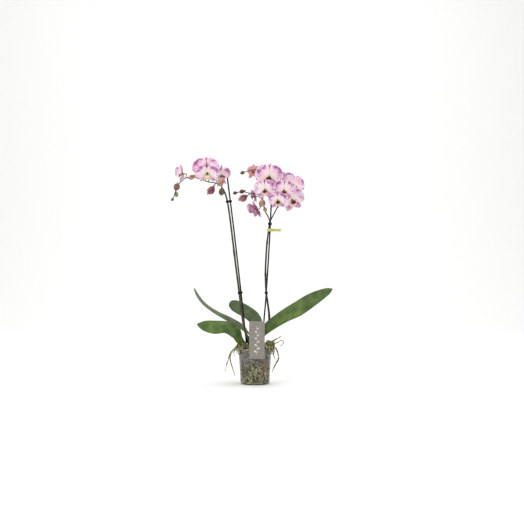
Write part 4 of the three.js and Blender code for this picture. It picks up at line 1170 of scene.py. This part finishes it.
# Lips
# Each open flower's lowest petal: a fleshy trough with two raised side lobes and a tongue. It
# is hinged under the column, maroon in the throat and peach round its rim.
def lip_material(name, throat, inner, ring, edge):
    """Fleshy, slightly shiny tissue: one colour in the throat and paler rings round it."""
    material, tree, place = new_material(name)
    where = add(tree, "UVMap", uv_map="throat")
    cloud = add(tree, "TexNoise", {"Vector": place, "Scale": per(3), "Detail": 4})
    far = add(tree, "VectorMath", {"Vector": where}, operation="LENGTH")
    ragged = add(tree, "Math", {0: cloud, 1: 0.25, 2: far.outputs["Value"]},
                 operation="MULTIPLY_ADD")
    tone = add(tree, "ValToRGB", {"Fac": ragged}, [(0.48, throat), (0.58, inner), (0.68, ring),
                                                   (0.85, edge)])
    skin = add(tree, "BsdfPrincipled", {"Base Color": tone, "Roughness": 0.45})
    add(tree, "OutputMaterial", {"Surface": skin})
    return material


lip_flesh = lip_material("lip_flesh_maroon", "2c080c", "7a2f2a", "cd8c70", "ecc2a4")
lip_cream = lip_material("lip_flesh_cream", "ecdcb0", "f0e2bc", "b98a58", "ead4b0")


def lip_surface(t, v):
    """A trough that runs forward and down from the column, with its sides raised."""
    y = through([-5.2, -6.8, -9.6, -12.6, -15.4, -17.6], t)
    z = through([3.6, 8.6, 12, 13.8, 14.6, 14.2], t)
    half = through([2.4, 9.4, 9.4, 8.4, 6.6, 2.6], t)
    raised = through([0.5, 7.5, 5.5, 3, 1, 0], t)
    return Vector((v * half, y + raised * v * v, z + 0.25 * raised * v * v))


def lip_thickness(t, v):
    """Fleshy, with thin edges."""
    half = 0.5 * (0.5 + 0.5 * (1 - abs(v) ** 6))
    return half, half


for name, flower in BLOOMS.items():
    points, faces, shades, places = sheet(lip_surface, 28, 18, lip_thickness)
    throat = [(point.x / 16, (point.y + 6.5) / 11) for point in points]
    points = [Vector(flower.at) + flower_matrix(flower) @ point for point in points]
    lip = mesh_piece("trough_" + name, points, faces,
                     lip_cream if name == "left_2" else lip_flesh, maps={"throat": throat})
    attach(lip, "root")
    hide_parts("lip_" + name)

# Half-open flowers and buds
# Flowers on the way: sepals still folded over the petals, and closed buds with three seams.
# Their outer tissue is thicker and duller, from rose and peach to olive.
BUD_TONES = {
    "rose": ("82404a", "a8626a", "d2a09a"), "peach": ("ae806a", "d0a68c", "e6cab4"),
    "dusky": ("4a2c2c", "6e4244", "946862"), "olive": ("4a4330", "6c6046", "988866"),
    "pale": ("8a8a5c", "b4ac80", "cfc0a0"), "tan": ("6a4238", "8f6354", "b58c78"),
}
bud_skins = {}
for kind, tones in BUD_TONES.items():
    bud_skins[kind], tree, place = new_material("bud_tissue_" + kind)
    where = add(tree, "UVMap", uv_map="petal")
    _, tone = clouded(tree, place, per(8), list(zip((0.3, 0.5, 0.7), tones)), Detail=5,
                      Roughness=0.6)
    laid, _ = veined(tree, where, (22, 2, 1), tone, 0.6, [(0.4, "8e8e8e"), (0.6, "666666")])
    skin = add(tree, "BsdfPrincipled", {"Base Color": laid, "Roughness": 0.5,
                                        "Specular IOR Level": 0.4})
    add(tree, "OutputMaterial", {"Surface": skin})

for name, flower in HALF_OPEN.items():
    tepals = []
    for tepal in TEPALS:
        narrow, trim = (0.96, 0.97) if tepal["face"] else (0.55, 0.84)
        tepals.append((tepal_surface(tepal, 34, 112, narrow, 1, 0.3, dice.uniform(0, 6.3), trim),
                       (28, 16), (0, 1)))
    opening = whole_flower("tepals_" + name, flower, tepals, 1, tepal_backs["rosy"],
                           bud_skins[flower.tone])
    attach(opening, "root")
    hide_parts(name)

BUD_RINGS, BUD_SIDES = 25, 36
for name, bud in BUDS.items():
    turn_of = flower_matrix(bud) * (1 / bud.size)
    rings = []
    for share in [i / (BUD_RINGS - 1) for i in range(BUD_RINGS)]:
        ring = []
        for turn in full_turn(BUD_SIDES):
            seam = exp(-((cos(1.5 * turn) / 0.16) ** 2))
            ridged = 0.975 + 0.06 * cos(3 * turn) - 0.03 * seam
            r = bud.size * through([0.14, 0.33, 0.4, 0.4, 0.31, 0.1], share) * ridged
            ring.append(Vector(bud.at)
                        + turn_of @ Vector((r * sin(turn), r * cos(turn), bud.size * share)))
        rings.append(ring)
    petal_map = [(k / BUD_SIDES, i / (BUD_RINGS - 1)) for i in range(BUD_RINGS)
                 for k in range(BUD_SIDES)]
    closed = mesh_piece("closed_" + name, *skinned(rings), bud_skins[bud.tone],
                         maps={"petal": petal_map})
    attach(closed, "root")
    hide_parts(name)

# Care card
# A die-cut card of grey recycled board, hooked over the rim by a tongue at its back. Its face
# carries a plain printed sprig in white.

# Pulp board: warm grey with fine light and dark fibres, quite matt.
recycled_board = mottled(
    "recycled_board_grey", 1.5, 6, [(0.4, "5f5a52"), (0.5, "88837a"), (0.6, "b2ada3")],
    {"Roughness": 0.88, "Specular IOR Level": 0.25}, ragged=0.75, relief=(0.2, 0.0002))
# Opaque screen-printed ink: thin, slightly glossy, broken up a little by the board's grain.
white_ink = mottled("white_ink_printed", 0.7, 4, [(0.3, "cfcbc4"), (0.6, "efece6")],
                    {"Roughness": 0.55})
CARD_FACE, CARD_BACK, INK_FACE = -58.3, -57.3, -58.42


def slab(outline, low, high, ease):
    """A flat plate that faces the front: an outline of (x, z), between two depths, with its edges
    eased."""
    middle = sum(map(Vector, outline), Vector((0, 0))) / len(outline)
    rings = []
    for depth, inset in ((low, ease), (low + ease, 0), (high - ease, 0), (high, ease)):
        rings.append([])
        for x, z in outline:
            inward = (middle - Vector((x, z))).normalized() * inset
            rings[-1].append(Vector((x + inward.x, depth, z + inward.y)))
    return skinned(rings)


plate = slab(rounded(-18, 31, 85, 203, 1.2, 6), CARD_FACE, CARD_BACK, 0.15)
hook_side = [(-57.8, 113.3), (-57.8, 114.3), (-51.0, 114.3), (-50.7, 114.0), (-50.7, 107.3),
             (-51.7, 107.3), (-51.7, 113.3)]
hook = skinned([[Vector((x, y, z)) for y, z in hook_side] for x in (-6, 6)])
card = mesh_piece("grey_card", *joined([plate, hook]), recycled_board, smooth=False)

# The sprig: an upright stalk with eight leaves, left and right by turns, smaller to the top.
sprig = [slab([(6.2, 97), (6.8, 97), (6.75, 188), (6.25, 188)], INK_FACE, CARD_FACE, 0.02)]
for k in range(8):
    z, side = 104 + 10.5 * k, 1 if k % 2 else -1
    long, wide = 11 - 0.6 * k, 2.7 - 0.12 * k
    outline = []
    for turn in full_turn(16):
        run, off = long / 2 * (1 - cos(turn)), wide * sin(turn) * abs(sin(turn / 2))
        outline.append((6.5 + side * (run * 0.78 - off * 0.6), z + run * 0.62 + off * 0.78))
    sprig.append(slab(outline, INK_FACE, CARD_FACE, 0.02))
ink = mesh_piece("card_sprig", *joined(sprig), white_ink, smooth=False)
for piece in (card, ink):
    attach(piece, "root")
    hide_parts("care_card")

# Yellow label
# A self-locking strip of thin yellow plastic, looped round the right stem and its stake. Its
# free end stands off to the right as a short flag.

# Plain film: pale greenish yellow, a soft gloss and faint stretch lines.
yellow_strip = mottled("polyethylene_strip_yellow", 5, 4, [(0.35, "bab95f"), (0.65, "cac982")],
                       {"Roughness": 0.4})
flag = slab(rounded(53.0, 83.9, 486.6, 495.4, 1.5, 6), 3.9, 4.5, 0.12)
strip = mesh_piece("yellow_strip", *joined([band("right", 491, 9), flag]), yellow_strip)
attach(strip, "root")
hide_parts("yellow_label")

size = {"cad": [list(map(float, corner)) for corner in cad_bounds],
        "visual": [list(map(float, corner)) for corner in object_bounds()]}
